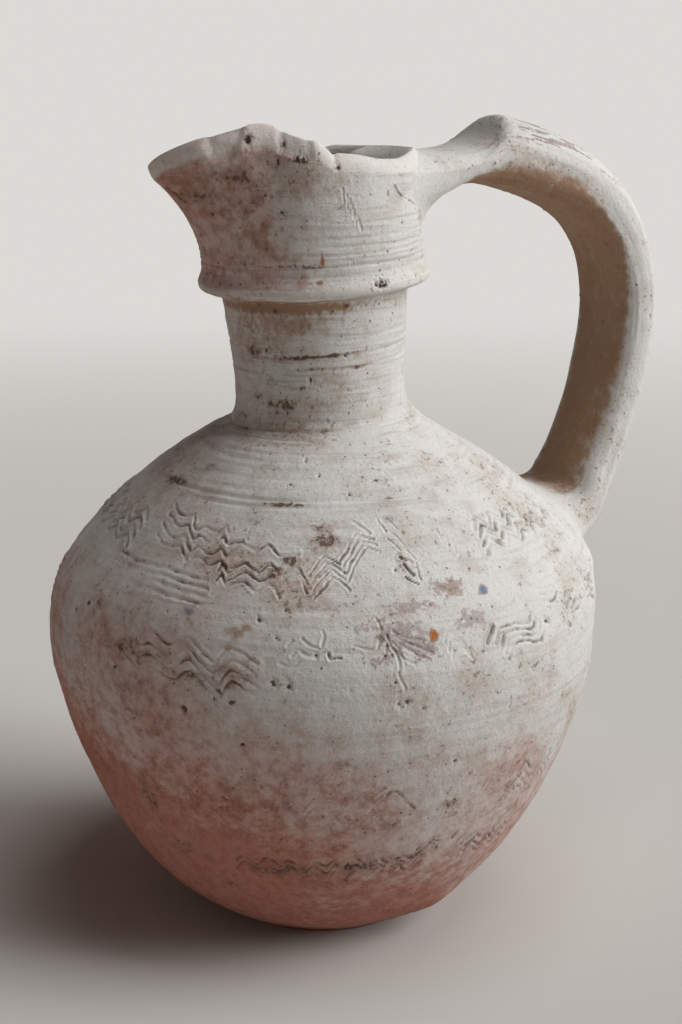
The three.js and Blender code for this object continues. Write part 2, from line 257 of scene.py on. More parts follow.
def wheel_marks(angle, height):
    """The rings that fingers and a pointed stick leave while the wheel turns."""
    up = along(height)
    x, y = np.cos(np.radians(angle)), np.sin(np.radians(angle))
    drift = 0.5 * np.sin(np.radians(angle) + 1)
    ripple = cloud(np.stack([x * 2.2, y * 2.2, (up + drift) / 1.5], -1), 1, 3) - 0.5
    broad = cloud(np.stack([x * 1.4, y * 1.4, (up + 2 * drift) / 6], -1), 1, 4) - 0.5
    deep = 0.16 * ripple + 0.3 * broad
    near = np.full(angle.shape, NO_LINE)
    for level, depth, width, start, end in wheel_lines:
        fade = 1.0
        if end - start < 360:
            middle, half = (start + end) / 2, (end - start) / 2
            fade = np.clip((half - np.abs(turn(angle - middle))) / 8, 0, 1)
        wander = 0.9 * (cloud(np.stack([x * 2, y * 2, 0 * x + level], -1), 1, 5) - 0.5)
        distance = np.abs(up - along(level) + wander)
        pressed = fade * (0.6 + 0.8 * cloud(np.stack([x * 5, y * 5, 0 * x + level], -1), 1, 6))
        deep = deep - depth * pressed * bump(distance, width)
        deep = deep + 0.3 * depth * pressed * bump(distance - 1.8 * width, width)
        near = np.minimum(near, distance + 2.2 * np.maximum(0, 1 - depth * pressed / 0.6))
    return deep, near


def worked(angle, height):
    """Depth that fingers, tools and years gave each point, and the marks that go with it."""
    turned, ring = wheel_marks(angle, height)
    combed, line = scored(angle, height)
    holed, hole = holes(angle, height)
    marks = {kind: stained(kind, angle, height) for kind in STAINS}
    return turned + combed + holed, {"line": np.minimum(line, ring), "hole": hole, **marks}


def spread(levels, angles):
    """A grid of points round the jug: the level of each, and its angle."""
    levels = np.array(levels, float)
    return np.repeat(levels[:, None], len(angles), 1), np.repeat(angles[None], len(levels), 0)


def outside(heights, angles):
    """The outer skin between two heights: points, normals and marks, without the spare rows."""
    height, angle = spread(heights, angles)
    at = place(angle, height, through(TEMPLATE, height))
    deep, marks = worked(angle, height)
    uneven = 0.6 * (cloud(at, 30, 1) - 0.5) + 0.26 * (cloud(at, 8, 2) - 0.5)
    uneven = uneven + 0.11 * (cloud(at, 2.6, 7) - 0.5) + 0.06 * (cloud(at, 1.2, 10) - 0.5)
    uneven = uneven + 1.2 * bump(turn(angle + 70), 13) * bump(height - 10, 6)  # a lump at the foot
    keep = np.clip(along(height) / 2, 0, 1)  # the rest face stays flat
    at = at + normals_of(at) * ((deep + uneven) * keep)[..., None]
    normal = normals_of(at)
    marks["worn"] = wear_and_shade_at(angle, height, at)
    # The flange's lip is painted pale: partly rubbing, partly painted highlight where it faces the lamps.
    marks["rubbed"] = bump(height - 189.2, 1.1) * (0.4 + cloud(at, 9, 23))
    marks["ringed"] = np.interp(height, [60, 120, 150, 185], [0.2, 0.55, 0.8, 1])
    return {"at": at[1:-1], "normal": normal[1:-1], **{k: v[1:-1] for k, v in marks.items()}}


def unmarked(shape, worn):
    """The marks of a face that nothing has marked."""
    marks = {name: np.zeros(shape) for name in MARKS}
    return {**marks, "line": np.full(shape, NO_LINE), "worn": np.full(shape, worn)}


def wear_and_shade_at(angle, height, at):
    """How much of the pale slip has gone, more low down. Its side term is painted shade: the side away from
    the handle is made browner, most on the collar.
    """
    low = np.clip((100 - height) / 80, 0, 1)
    # Painted shade: the side away from the handle, which the lamps leave in shade, is made browner; fade sets
    # how much at each height, most on the collar.
    side = 0.6 * (0.5 - 0.5 * np.cos(np.radians(turn(angle + 15)))) ** 1.3
    fade = np.interp(height, [105, 140, 185, 198], [1, 0.45, 0.95, 1.4])
    return np.clip(0.75 * low + side * fade + 0.3 * (cloud(at, 24, 8) - 0.5), 0, 1)


def normals_of(at):
    """Normals of a closed grid of points, from each point's neighbours."""
    round_wall = np.roll(at, -1, 1) - np.roll(at, 1, 1)
    up_wall = np.gradient(at, axis=0)
    normal = np.cross(round_wall, up_wall)
    return normal / np.maximum(np.linalg.norm(normal, axis=-1, keepdims=True), 1e-12)


def clay_body(name, skins, strips=2, ring=True):
    """One closed mesh from skins that follow each other round the section of the wall. Flat faces
    join the skins' ends. A row of points on the axis becomes one point."""
    at = np.concatenate([skin["at"] for skin in skins])
    normal = np.concatenate([skin["normal"] for skin in skins])
    which = np.repeat(np.arange(len(skins)), [len(skin["at"]) for skin in skins])
    rows, columns = at.shape[:2]
    number = np.arange(rows * columns).reshape(rows, columns)
    on_axis = np.ptp(at, axis=1).max(-1) < 1e-6
    number[on_axis] = number[on_axis][:, :1]
    right = (np.arange(columns) + 1) % columns
    pairs = [(row, row + 1) for row in range(rows - 1)] + ([(rows - 1, 0)] if ring else [])
    steps = [np.linalg.norm(at[b] - at[a], axis=-1).mean() for a, b in pairs]
    reach = np.concatenate([[0], np.cumsum(steps)]) / sum(steps)
    per_strip = columns // strips
    column = np.arange(columns)
    strip, inner = column // per_strip, column % per_strip
    corner_list, normal_list, uv_list, sizes = [], [], [], []
    for k, (low, high) in enumerate(pairs):
        corners = np.stack([number[low], number[low][right], number[high][right], number[high]], -1)
        if which[low] == which[high] and abs(high - low) == 1:
            lights = np.stack([normal[low], normal[low][right], normal[high][right], normal[high]], 1)
        else:
            flat = np.cross(at[low][right] - at[low], at[high] - at[low])
            flat /= np.maximum(np.linalg.norm(flat, axis=-1, keepdims=True), 1e-12)
            lights = np.repeat(flat[:, None], 4, 1)
        # Each strip of columns gets a band of its own on the map, with a small gap round it.
        u = np.stack([inner, inner + 1, inner + 1, inner], -1) / per_strip * 0.99 + 0.005
        v = np.array([reach[k], reach[k], reach[k + 1], reach[k + 1]])
        v = (strip[:, None] + 0.01 + 0.98 * v) / strips
        keep = [0, 2, 3] if on_axis[low] else [0, 1, 2] if on_axis[high] else [0, 1, 2, 3]
        corner_list.append(corners[:, keep].ravel())
        normal_list.append(lights[:, keep].reshape(-1, 3))
        uv_list.append(np.stack([u, v], -1)[:, keep].reshape(-1, 2))
        sizes.append(np.full(columns, len(keep)))
    used, corners = np.unique(np.concatenate(corner_list), return_inverse=True)
    sizes = np.concatenate(sizes)
    mesh = bpy.data.meshes.new(name)
    mesh.vertices.add(len(used))
    mesh.vertices.foreach_set("co", (at.reshape(-1, 3)[used] / MM).ravel())
    mesh.loops.add(len(corners))
    mesh.loops.foreach_set("vertex_index", corners.ravel())
    mesh.polygons.add(len(sizes))
    mesh.polygons.foreach_set("loop_start", np.concatenate([[0], np.cumsum(sizes)[:-1]]))
    mesh.update(calc_edges=True)
    mesh.polygons.foreach_set("use_smooth", np.ones(len(sizes), bool))
    mesh.uv_layers.new(name="OFBake").data.foreach_set("uv", np.concatenate(uv_list).ravel())
    for mark in MARKS:
        values = np.concatenate([skin[mark] for skin in skins]).ravel()[used]
        mesh.attributes.new(mark, "FLOAT", "POINT").data.foreach_set("value", values)
    mesh.normals_split_custom_set(np.concatenate(normal_list).tolist())
    mesh.materials.append(earthenware)
    piece = bpy.data.objects.new("jug_" + name, mesh)
    bpy.context.scene.collection.objects.link(piece)
    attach(piece, "root")
    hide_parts(name)


def colour(code):
    """A written sRGB colour as linear light."""
    parts = [int(code[i : i + 2], 16) / 255 for i in (1, 3, 5)]
    return (*[p / 12.92 if p <= 0.04045 else ((p + 0.055) / 1.055) ** 2.4 for p in parts], 1)


def add(tree, kind, inputs=None, **settings):
    """Adds one node. An input is a value, or another node's output to link."""
    made = tree.nodes.new(kind)
    for name, value in settings.items():
        setattr(made, name, value)
    for name, value in (inputs or {}).items():
        if isinstance(value, bpy.types.NodeSocket):
            tree.links.new(value, made.inputs[name])
        else:
            made.inputs[name].default_value = value
    return made


# Earthenware, thrown on the wheel, dipped in a thin pale slip and fired without a glaze. The eye
# gets a dry, chalky surface: no shine, fine grit, wheel streaks, and soil in every low place.
earthenware = bpy.data.materials.new("weathered_slip_on_earthenware")
earthenware.use_nodes = True
tree = earthenware.node_tree
tree.nodes.clear()
spot = add(tree, "ShaderNodeTexCoord").outputs["Object"]
in_mm = add(tree, "ShaderNodeVectorMath", {0: spot, 1: (MM, MM, MM)}, operation="MULTIPLY").outputs[0]


def blotches(size, detail, rough, stretch=(1, 1, 1)):
    """Noise with blotches of a size in mm, drawn out along an axis where stretch is over 1."""
    scaled = add(
        tree, "ShaderNodeVectorMath", {0: in_mm, 1: [1 / (size * s) for s in stretch]}, operation="MULTIPLY"
    )
    inputs = {"Vector": scaled.outputs[0], "Scale": 1.0, "Detail": detail, "Roughness": rough}
    return add(tree, "ShaderNodeTexNoise", inputs).outputs["Fac"]


def between(value, low, high):
    """0 below low, 1 above high, with a soft step."""
    inputs = {"Value": value, "From Min": low, "From Max": high}
    return add(tree, "ShaderNodeMapRange", inputs, interpolation_type="SMOOTHSTEP").outputs["Result"]


def times(a, b):
    return add(tree, "ShaderNodeMath", {0: a, 1: b}, operation="MULTIPLY").outputs[0]


def plus(a, b, share=1.0):
    return add(tree, "ShaderNodeMath", {0: b, 1: share, 2: a}, operation="MULTIPLY_ADD").outputs[0]


def over(under, paint, where, cover=1.0):
    """Paint over what is under it, as far as it covers. Each is a written colour or a node's."""
    under, paint = (colour(c) if isinstance(c, str) else c for c in (under, paint))
    inputs = {0: times(where, cover), 6: under, 7: paint}
    return add(tree, "ShaderNodeMix", inputs, data_type="RGBA").outputs[2]


mark = {
    name: add(tree, "ShaderNodeAttribute", attribute_name=name).outputs["Fac"]
    for name in MARKS
}
broad, medium, fine = blotches(16, 9, 0.68), blotches(3.6, 7, 0.62), blotches(1.3, 4, 0.6)
streaks = blotches(1.3, 4, 0.6, (16, 16, 1))
bands = blotches(3.5, 3, 0.6, (9, 9, 1))
grit = blotches(0.6, 3, 0.6)

# The slip, thin enough for the clay to warm it in places, and streaked by the wet hand that
# smoothed it on the turning wheel.
slip = over("#D6D6D2", "#BFB6AA", between(broad, 0.46, 0.66), 0.65)
slip = over(slip, "#E2E3E1", between(fine, 0.54, 0.7), 0.45)
slip = over(slip, "#ADA294", times(between(streaks, 0.5, 0.68), mark["ringed"]), 0.55)
slip = over(slip, "#E0E1E0", times(between(bands, 0.52, 0.66), mark["ringed"]), 0.5)
slip = over(slip, "#8E8376", between(grit, 0.56, 0.72), 0.5)

# The clay where the slip has gone thin: pinkish buff, redder and darker where it is bare. Its mask also
# carries the painted shade of the side away from the handle.
clay = over("#C08D80", "#A0695B", between(medium, 0.4, 0.64))
clay = over(clay, "#CFB4AB", between(fine, 0.52, 0.68), 0.5)
clay = over(clay, "#8A6659", between(grit, 0.55, 0.72), 0.4)
clay = over(clay, "#926F66", times(between(bands, 0.5, 0.64), mark["ringed"]), 0.5)
thin_slip_and_shade = plus(plus(mark["worn"], broad, 0.8), medium, 0.5)
# The red clay follows the same mask, so it is partly painted shade on the side away from the handle.
red_clay_and_shade = between(plus(mark["worn"], broad, 0.5), 0.9, 1.3)
clay = over(clay, "#A5573F", red_clay_and_shade, 0.6)
surface = over(slip, clay, between(thin_slip_and_shade, 0.82, 1.6), 0.95)

# Pale edges: partly rubbed down to a chalky pale by hands and shelves, partly painted highlight where the lip
# and the flange's edge face the lamps.
rubbed = between(plus(plus(mark["rubbed"], medium, 1.0), fine, 0.5), 0.9, 1.5)
surface = over(surface, "#DBD8D1", rubbed, 0.7)

# Stains that go with the clay: flaked mauve patches, soft ochre ones, and brown soil.
mauve_spread = plus(plus(mark["mauve"], medium, 0.9), fine, 1.7)
surface = over(surface, "#AC9D9A", between(mauve_spread, 1.78, 1.86), 0.75)
surface = over(surface, "#8C8285", between(mauve_spread, 2.1, 2.2), 0.6)
surface = over(surface, "#6484AB", between(mauve_spread, 3.2, 3.3), 0.85)
ochre = between(plus(plus(mark["ochre"], medium, 1.1), fine, 0.6), 1.1, 1.85)
surface = over(surface, "#977152", ochre, 0.88)
bright_ochre = between(plus(mark["ochre"], fine, 1.2), 2.2, 2.3)
surface = over(surface, "#B4622D", bright_ochre, 0.9)

soil_spread = plus(plus(plus(mark["soil"], medium, 0.8), fine, 1.1), streaks, 0.35)
surface = over(surface, "#94796A", between(soil_spread, 1.45, 1.8), 0.55)
soil = between(soil_spread, 1.72, 1.84)
surface = over(surface, "#5E4A3E", soil, 0.85)

# Specks of soil and grit, 0.5 to 1.5 mm wide, thicker in some places than in others.
specks = between(plus(blotches(1.6, 5, 0.62), broad, 0.5), 0.88, 0.93)
surface = over(surface, "#7A6454", specks, 0.65)
grey_specks = between(plus(blotches(1.9, 4, 0.6), medium, 0.35), 0.93, 0.97)
surface = over(surface, "#7E8288", grey_specks, 0.55)

in_line = between(plus(mark["line"], fine, 0.8), 0.95, 0.3)
line_soil = times(in_line, between(plus(medium, mark["soil"], 0.6), 0.3, 0.6))
surface = over(surface, "#604B3A", line_soil, 0.88)
in_hole = between(plus(mark["hole"], fine, 1.1), 1.0, 1.3)
surface = over(surface, "#3E332C", in_hole, 0.85)

# Burnt-out grit left pinholes, mostly 0.3 to 0.8 mm wide.
pin = add(tree, "ShaderNodeTexVoronoi", {"Vector": in_mm, "Scale": 0.36, "Randomness": 1.0})
pin_sort = add(tree, "ShaderNodeSeparateColor", {0: pin.outputs["Color"]}).outputs[0]
pin_size = plus(-0.15, pin_sort, 0.26)
pinholes = between(plus(plus(pin_size, pin.outputs["Distance"], -1.0), fine, 0.12), 0.0, 0.07)
surface = over(surface, "#40332B", pinholes, 0.6)

rise = plus(times(fine, 0.6), medium, 0.6)
ringed_streaks = times(streaks, mark["ringed"])
parts = ((grit, 0.3), (ringed_streaks, 0.6), (pinholes, -0.7), (in_line, -0.35), (soil, -0.12))
for part, share in parts:
    rise = plus(rise, part, share)
relief = add(tree, "ShaderNodeBump", {"Height": rise, "Strength": 0.7, "Distance": 0.0005}).outputs[0]
shader_inputs = {
    "Base Color": surface,
    "Roughness": 0.92,
    "IOR": 1.5,
    "Specular IOR Level": 0.3,
    "Normal": relief,
}
shader = add(tree, "ShaderNodeBsdfPrincipled", shader_inputs)
add(tree, "ShaderNodeOutputMaterial", {"Surface": shader.outputs[0]})


def disc_rows(radii, height, angles, bow):
    """Rows of a flat disc at a height, hollowed by bow at its middle."""
    radius, angle = spread(radii, np.radians(angles))
    z = height + bow * (1 - (radius / np.max(radii)) ** 2)
    at = np.stack([radius * np.cos(angle), radius * np.sin(angle), z], -1)
    return {"at": at, **unmarked(radius.shape, 0.9)}


rng = np.random.default_rng(2024)
for _ in range(240):  # lime and grit burnt out of the clay all over
    level = rng.uniform(4, 190)
    size = rng.choice([0.34, 0.45, 0.65], p=[0.6, 0.3, 0.1])
    pits.append((rng.uniform(-180, 180), level, size, size * rng.uniform(0.2, 0.6)))

# The foot's edge is chipped on the handle's side.
pits += [(-76, 7, 4.5, 1.0), (-60, 4, 3, 0.6)]
stain("soil", (-82, 10, 8, 3, 0.5))

underside = disc_rows([0, 3, 7, 11, 15, 19, 23, 26, 28.1, 28.9], 0, column_angles, 0.35)
x, y = underside["at"][..., 0], underside["at"][..., 1]
string_cut = (np.hypot(x, y) > 1) & (np.hypot(x, y) < 25)
underside["at"][..., 2] += 0.08 * np.sin(y * 1.9 + 0.02 * x**2) * string_cut
underside["normal"] = np.broadcast_to([0.0, 0.0, -1.0], underside["at"].shape)
side = outside(rows_between(0.05, WALL_FOOT, 0.6), column_angles)
floor_disc = disc_rows([22, 18, 13, 8, 4, 0], WALL_FOOT, column_angles, 0)
floor_disc["normal"] = np.broadcast_to([0.0, 0.0, 1.0], floor_disc["at"].shape)
clay_body("base_disc", [underside, side, floor_disc], strips=2, ring=False)


# Lower bowl.
# The real one is the first lift of the wall, drawn up and out from the foot. Its slip has mostly
# gone, so the pinkish clay shows, with brown soil caught in the scratches of a coarse comb.
LOWER_LINE = 81.3
BOWL_TOP = 81
# The inside, from the floor's edge up: height, then radius.
INSIDE = [
    (6, 22), (8, 29.5), (12, 37.5), (20, 47.5), (30, 55.5), (42, 62), (56, 67.6), (72, 72.4), (90, 74),
    (102, 71.8), (114, 64.6), (124, 55.6), (134, 44), (140, 35), (144.5, 26), (147, 21.5), (150.5, 19.3),
    (162, 19.4), (176, 20.6), (185.7, 21.6), (188.6, 23.6), (191.5, 26.3), (196, 26.7), (224, 26.7),
]


def inside(heights, angles):
    """The inner skin from the upper height down to the lower."""
    height, angle = spread(heights[::-1], angles)
    at = place(angle, height, through(INSIDE, height))
    ribs = 0.5 * (cloud(np.stack([at[..., 0] / 60, at[..., 1] / 60, height / 5], -1), 1, 9) - 0.5)
    at = at + normals_of(at) * ribs[..., None]
    normal = normals_of(at)
    return {"at": at[1:-1], "normal": normal[1:-1], **unmarked(at[1:-1].shape[:2], 0.8)}


def wall_piece(name, heights, inner_step, angles, strips):
    """A ring of the wall, outside and inside, between two heights of the jug."""
    inner = rows_between(heights[1], heights[-2], inner_step)
    clay_body(name, [outside(heights, angles), inside(inner, angles)], strips)


def rows_through(levels, steps):
    """Heights from the first level to the last, with a step of their own between each two."""
    first, *middle, last = [rows_between(*span) for span in zip(levels[:-1], levels[1:], steps)]
    return np.concatenate([first[:-2], *(rows[1:-2] for rows in middle), last[1:]])


def rounded(line):
    """A path with its corners rounded, as a hand draws it."""
    if len(line) < 3:
        return line
    ahead, back = line[:-1] * 0.74 + line[1:] * 0.26, line[:-1] * 0.26 + line[1:] * 0.74
    corners = (ahead[1:] + back[:-1]) / 4 + line[1:-1] / 2
    middle = np.stack([ahead[:-1], back[:-1], corners], 1).reshape(-1, 2)
    return np.concatenate([line[:1], middle, ahead[-1:], line[-1:]])


def wave(start, end, half, level, rise):
    """A comb's path in waves, from one angle to the other, half a wave at a time."""
    count = max(1, round((end - start) / half))
    return [(start + (end - start) * k / count, level + (rise if k % 2 else -rise)) for k in range(count + 1)]


def stroke(path, teeth=1, step=(0, -2.8), depth=0.3, width=0.36):
    """Adds one pull of the comb: its first tooth's path in (angle, height), and the way in mm to
    the next tooth, across and up."""
    angle, height = np.array(path, float).T
    middle = turn(angle[0])
    radius = float(through(TEMPLATE, height.mean()))
    across = np.radians(turn(angle - middle)) * radius
    line = rounded(np.stack([across, along(height)], -1))
    strokes.append((middle, radius, line, teeth, step, depth, width))


wheel_lines += [
    (LOWER_LINE, 0.42, 0.5, -180, 180),
    (LOWER_LINE - 2.2, 0.25, 0.5, -200, 20),
    (70, 0.12, 0.8, -180, 180),
    (30, 0.15, 0.9, -180, 180),
    (20.5, 0.2, 0.6, -150, -70),
]

stroke([(-105.4, 58.2), (-101.5, 65), (-98.9, 62.3), (-95.8, 57.7)], depth=0.5)
stroke([(-104.4, 57.3), (-100.1, 52.5), (-98.8, 54.6)], depth=0.4)
stroke([(-107.2, 62), (-103, 65.9)], 3, (-2.7, 0.9), 0.4)
stroke([(-111.6, 61.4), (-108.2, 56.7)], 4, (-1.6, -1.2), 0.4, 0.4)
stroke([(-84.5, 43.4), (-82.5, 45.9)], 4, (2.6, -2), 0.4)
stroke(wave(-127, -113, 3.4, 61, 3), 3, (0, -2.6), 0.35)
stroke(wave(-158, -131, 4.4, 61, 3), 4, (0, -2.6), 0.35)
for start, end in ((-72, -30), (-22, 18), (24, 66), (71, 108), (114, 160), (166, 192)):
    stroke(wave(start, end, 4.6, 60, 3), 4, (0, -2.6), 0.4)
for start, end in ((-136, -112), (-110, -91), (-78, -52), (-40, 2), (12, 60), (70, 120), (130, 175)):
    stroke(wave(start, end, 2.7, 40, 1.7), 3, (0, -2.4), 0.45, 0.5)

stain(
    "soil",
    (-124, 37, 16, 4, 0.62), (-106, 38.5, 18, 3.5, 0.68), (-95, 40, 10, 3.5, 0.6),
    (-89, 43, 5, 6, 0.62), (-156, 54, 8, 12, 0.6), (-162, 62, 6, 8, 0.5), (-132, 65, 9, 5, 0.5),
    (-109.5, 72.5, 7, 6, 0.5), (-87, 58, 5, 5, 0.6), (-86, 53, 4, 2.5, 0.55),
    (-113, 33, 20, 4, 0.5), (-150, 40, 16, 8, 0.55), (-66, 46, 10, 10, 0.45), (-72, 60, 6, 6, 0.4),
    (-140, 28, 14, 4, 0.5), (-100, 25, 20, 3, 0.35), (-148, 78, 16, 4, 0.4),
    (-125, 80, 14, 2, 0.45),
)
scatter(60, ["soil"], (-45, 180), (14, 80), (3, 14), (2, 6), (0.3, 0.65))
stain(
    "ochre",
    (-150, 74, 16, 5, 0.3), (-138, 63, 7, 5, 0.25), (-112, 72, 8, 5, 0.25),
)
bowl_rows = rows_through([WALL_FOOT, 33, 45, 52, 68, BOWL_TOP], [1.5, 0.8, 1.4, 0.8, 1.1])
wall_piece("lower_bowl", bowl_rows, 9, column_angles, strips=2)


# Belly wall.
# The real one is the second lift, where the jug is widest. A comb with four or five teeth was
# drawn across it in waves while the clay was leather-hard, and the slip went on afterwards.
UPPER_LINE = 117

stroke(
    [(-170, 108.4), (-162.8, 106.1), (-159.1, 107.8), (-153.3, 103.7), (-150, 105.5), (-144.9, 102.2),
     (-141.3, 106), (-135.5, 99.4), (-132.6, 104.9), (-127.2, 100.9)],
    4, (0.4, -3), 0.4, 0.42,
)
stroke([(-121.3, 105.4), (-120.4, 107)], 2, (1.1, -2.4))
stroke([(-118.8, 107.5), (-117.3, 105.8), (-115.7, 105.2)], 2, (-0.6, -2.6))
stroke([(-115.3, 109.2), (-114.6, 107.9), (-115.3, 105.5)])
stroke([(-122.8, 101.1), (-120.1, 100.7), (-118.9, 102.4)])
stroke([(-113.9, 104), (-113.7, 102.4), (-111.6, 102.5)], depth=0.45)

# Where two pulls met, their lines spread like a fan.
for path in (
    [(-104.5, 111), (-103.1, 108), (-104.1, 104.3)],
    [(-109.1, 105.8), (-107, 104.3), (-104.6, 103.8), (-103.1, 106.4)],
    [(-106.4, 101.7), (-104.5, 101.1), (-103, 102.7), (-102.4, 105.5)],
    [(-101.5, 103.9), (-99.6, 100.7), (-97.7, 100.1)],
    [(-100.2, 105.4), (-97.2, 101.7), (-94.7, 101)],
    [(-100.1, 106.7), (-97, 103.7), (-94.1, 102.5)],
    [(-101, 108), (-98, 105.8), (-94.6, 104.6)],
):
    stroke(path, depth=0.3, width=0.3)
stroke([(-102, 107), (-101.5, 104), (-100.9, 101.4), (-100.7, 98), (-99.9, 94.4)], depth=0.42, width=0.34)
stroke([(-101.3, 106), (-100.2, 102.6), (-99.6, 99.6)], depth=0.34, width=0.3)

stroke([(-91.3, 104.2), (-90.6, 106.3), (-89, 105.7), (-86.5, 102.6)], 3, (0.9, -1.9), 0.32)
stroke([(-81.6, 102.2), (-79.6, 105.7)], depth=0.75, width=0.42)
stroke(
    [(-79.5, 101.7), (-78.3, 104.9), (-75.9, 105.2), (-70.1, 103.6), (-68.4, 106.4)],
    4, (1.2, -1.9), 0.42, 0.38,
)
stroke([(-64.5, 109.4), (-60.1, 108.6), (-58, 110)], 2, (0.6, -2.2), 0.35)
for start, end in ((-56, -28), (27, 69), (73, 115), (119, 180)):
    stroke(wave(start, end, 4.7, 107, 1.8), 4, (0, -2.4), 0.55, 0.5)

# The comb held still while the wheel turned.
stroke([(-170, 119.2), (-158.8, 118.9), (-150.3, 118.7), (-141, 118)], 4, (0.8, -2.4), 0.4, 0.46)
stroke([(-128.5, 116.6), (-109, 116.8)], depth=0.12)

# The upper waves hang over the line between belly and shoulder.
stroke(
    [(-163.7, 131.6), (-159.2, 129.9), (-156.1, 129.9), (-153.9, 130.6), (-150.1, 127.5), (-148.5, 129.1),
     (-144.3, 127.6), (-141.7, 129.6), (-139.9, 127.8), (-135.9, 129.2)],
    4, (0.6, -3.3), 0.48, 0.34,
)
stroke(
    [(-138.8, 125.5), (-135.5, 127), (-131.5, 124.7), (-128.9, 126.6), (-125.6, 124), (-121, 124.8)],
    depth=0.45,
)
stroke(
    [(-139.7, 120.6), (-138.8, 122.2), (-137.1, 120), (-133.9, 122.9), (-129.6, 120.4), (-126.8, 122.7),
     (-123.5, 119.2), (-121, 122.8), (-118.4, 118.5)],
    2, (0.5, -2.9), 0.55, 0.34,
)
stroke(
    [(-138.6, 119.8), (-136.5, 117.2), (-133.4, 118.8), (-130, 116.4), (-126.7, 118.6), (-123.8, 115.4)],
    depth=0.5,
)
stroke([(-118.2, 120.6), (-114.8, 125.3), (-111, 122.4)], 4, (0.7, -2.4), 0.36, 0.3)
stroke([(-111, 123.4), (-107.4, 127.6), (-105.4, 129.7), (-101.7, 128.8)], 4, (0.5, -1.9), 0.36, 0.3)
stroke([(-110, 133.2), (-107.4, 131.7), (-104.8, 130.7), (-101.7, 129)], depth=0.5)
for path in (
    [(-99.5, 131.6), (-97.4, 128.9)],
    [(-96.9, 131.8), (-94.5, 129.5)],
    [(-96.2, 128.8), (-94.1, 125.6)],
    [(-94.2, 124.6), (-92.4, 122.5), (-90.9, 121.7)],
    [(-92.6, 121.6), (-92.5, 118.5)],
    [(-86.4, 127), (-84.2, 124)],
    [(-83.1, 127.9), (-82.9, 125.5)],
    [(-80.9, 126), (-82.4, 123.4)],
    [(-80.2, 124), (-80.9, 122.4)],
    [(-88.8, 122.1), (-87.3, 120.6)],
    [(-90.6, 124.9), (-88.4, 122.8)],
):
    stroke(path, depth=0.26, width=0.28)
for path in (
    [(-97.6, 127.4), (-95.6, 124.5)],
    [(-96.3, 123.3), (-93.5, 121.7)],
    [(-96, 121.6), (-93.9, 119.6)],
    [(-95.8, 119.2), (-93.5, 117.5)],
):
    stroke(path, depth=0.42, width=0.3)
stroke(wave(-72, -30, 3.6, 128, 1.4), 4, (0, -2.8), 0.45, 0.5)
for start, end, teeth in ((30, 59, 5), (62, 91, 5), (95, 121, 4), (124, 150, 5), (153, 190, 4)):
    stroke(wave(start, end, 3.6, 128, 1.4), teeth, (0, -2.85), 0.6, 0.52)

pits += [
    (-64.1, 102.8, 0.9, 0.9), (-85.7, 101.9, 0.5, 0.4), (-78.1, 110.1, 0.45, 0.4),
    (-79.7, 118.9, 0.45, 0.4), (-109.7, 121.1, 0.6, 0.5), (-171.5, 106.2, 1.0, 0.7),
    (-175.2, 103.1, 0.7, 0.5), (-121.1, 95.5, 0.9, 0.7), (-123.9, 95.9, 0.8, 0.5),
    (-134.3, 92.9, 0.8, 0.6), (-135.2, 90.5, 0.7, 0.5), (-127.6, 110.7, 0.7, 0.5),
    (-100.8, 90.4, 0.8, 0.7), (-99.3, 90.5, 0.8, 0.7), (-98, 120.8, 0.5, 0.4), (-96, 88, 0.6, 0.4),
    (-113.5, 92, 0.5, 0.4), (-70.5, 92, 0.6, 0.4), (-158.7, 93.2, 0.9, 0.6),
    (-147.9, 109.9, 0.5, 0.3), (-122.4, 113.2, 0.5, 0.4), (-123.8, 107, 0.5, 0.4),
    (-141.6, 87.2, 0.8, 0.6), (-141.2, 86.2, 0.7, 0.5), (-168.4, 90.6, 0.5, 0.5),
    (-168.4, 89, 0.5, 0.5), (-116.1, 103.3, 0.5, 0.4), (-131.8, 90.4, 0.7, 0.5),
]

stain(
    "soil",
    (-138, 95.8, 10, 2.6, 0.62), (-103, 104, 4, 8, 0.55), (-134, 97, 14, 5, 0.5),
    (-154, 99, 12, 6, 0.55), (-168, 106, 7, 5, 0.5), (-140, 101, 7, 5, 0.45),
    (-70, 101, 3, 2, 0.45), (-114, 128, 5, 6, 0.72), (-96, 122, 4, 6, 0.5), (-143, 122, 4, 4, 0.5),
    (-127, 121, 9, 4, 0.62), (-122, 123, 5, 3, 0.66), (-124, 91, 12, 4, 0.35),
    (-152, 90, 14, 6, 0.45),
)
stain(
    "ochre",
    (-132.3, 107.6, 3, 2.4, 0.8), (-130, 109, 2.6, 1.4, 0.8), (-92.9, 106.2, 1.1, 1.3, 3),
    (-133.6, 104.2, 2.4, 1.6, 0.7), (-86.7, 116, 6, 3.4, 0.5), (-91, 112.6, 4, 2, 0.45),
    (-66, 123, 1.4, 1.4, 0.75), (-112, 104, 8, 6, 0.2), (-156, 104, 8, 7, 0.35),
)
stain(
    "mauve",
    (-99, 107, 8.5, 6, 0.85), (-95.5, 103.2, 5, 3.6, 0.9), (-106, 109.4, 5, 3, 0.62),
    (-87, 116, 7.5, 3.8, 0.72), (-96, 112.8, 7, 2.2, 0.75), (-84.3, 108.4, 5.5, 3.8, 0.82),
    (-105, 101.3, 2.6, 1.6, 0.7), (-114, 113.6, 9, 1.6, 0.55), (-145, 112, 14, 5, 0.3),
    (-164, 118, 10, 5, 0.35), (-118, 114, 7, 2, 0.3), (-78.6, 114, 1.1, 1.2, 3.4),
    (-143, 110.9, 1.3, 0.6, 2.6),
)
scatter(50, ["soil", "mauve"], (-50, 175), (84, 130), (3, 10), (2, 5), (0.3, 0.6))
belly_rows = rows_through([BOWL_TOP, 94, 113, UPPER_LINE], [0.8, 0.42, 0.5])
wall_piece("belly_wall", belly_rows, 6, column_angles, strips=3)


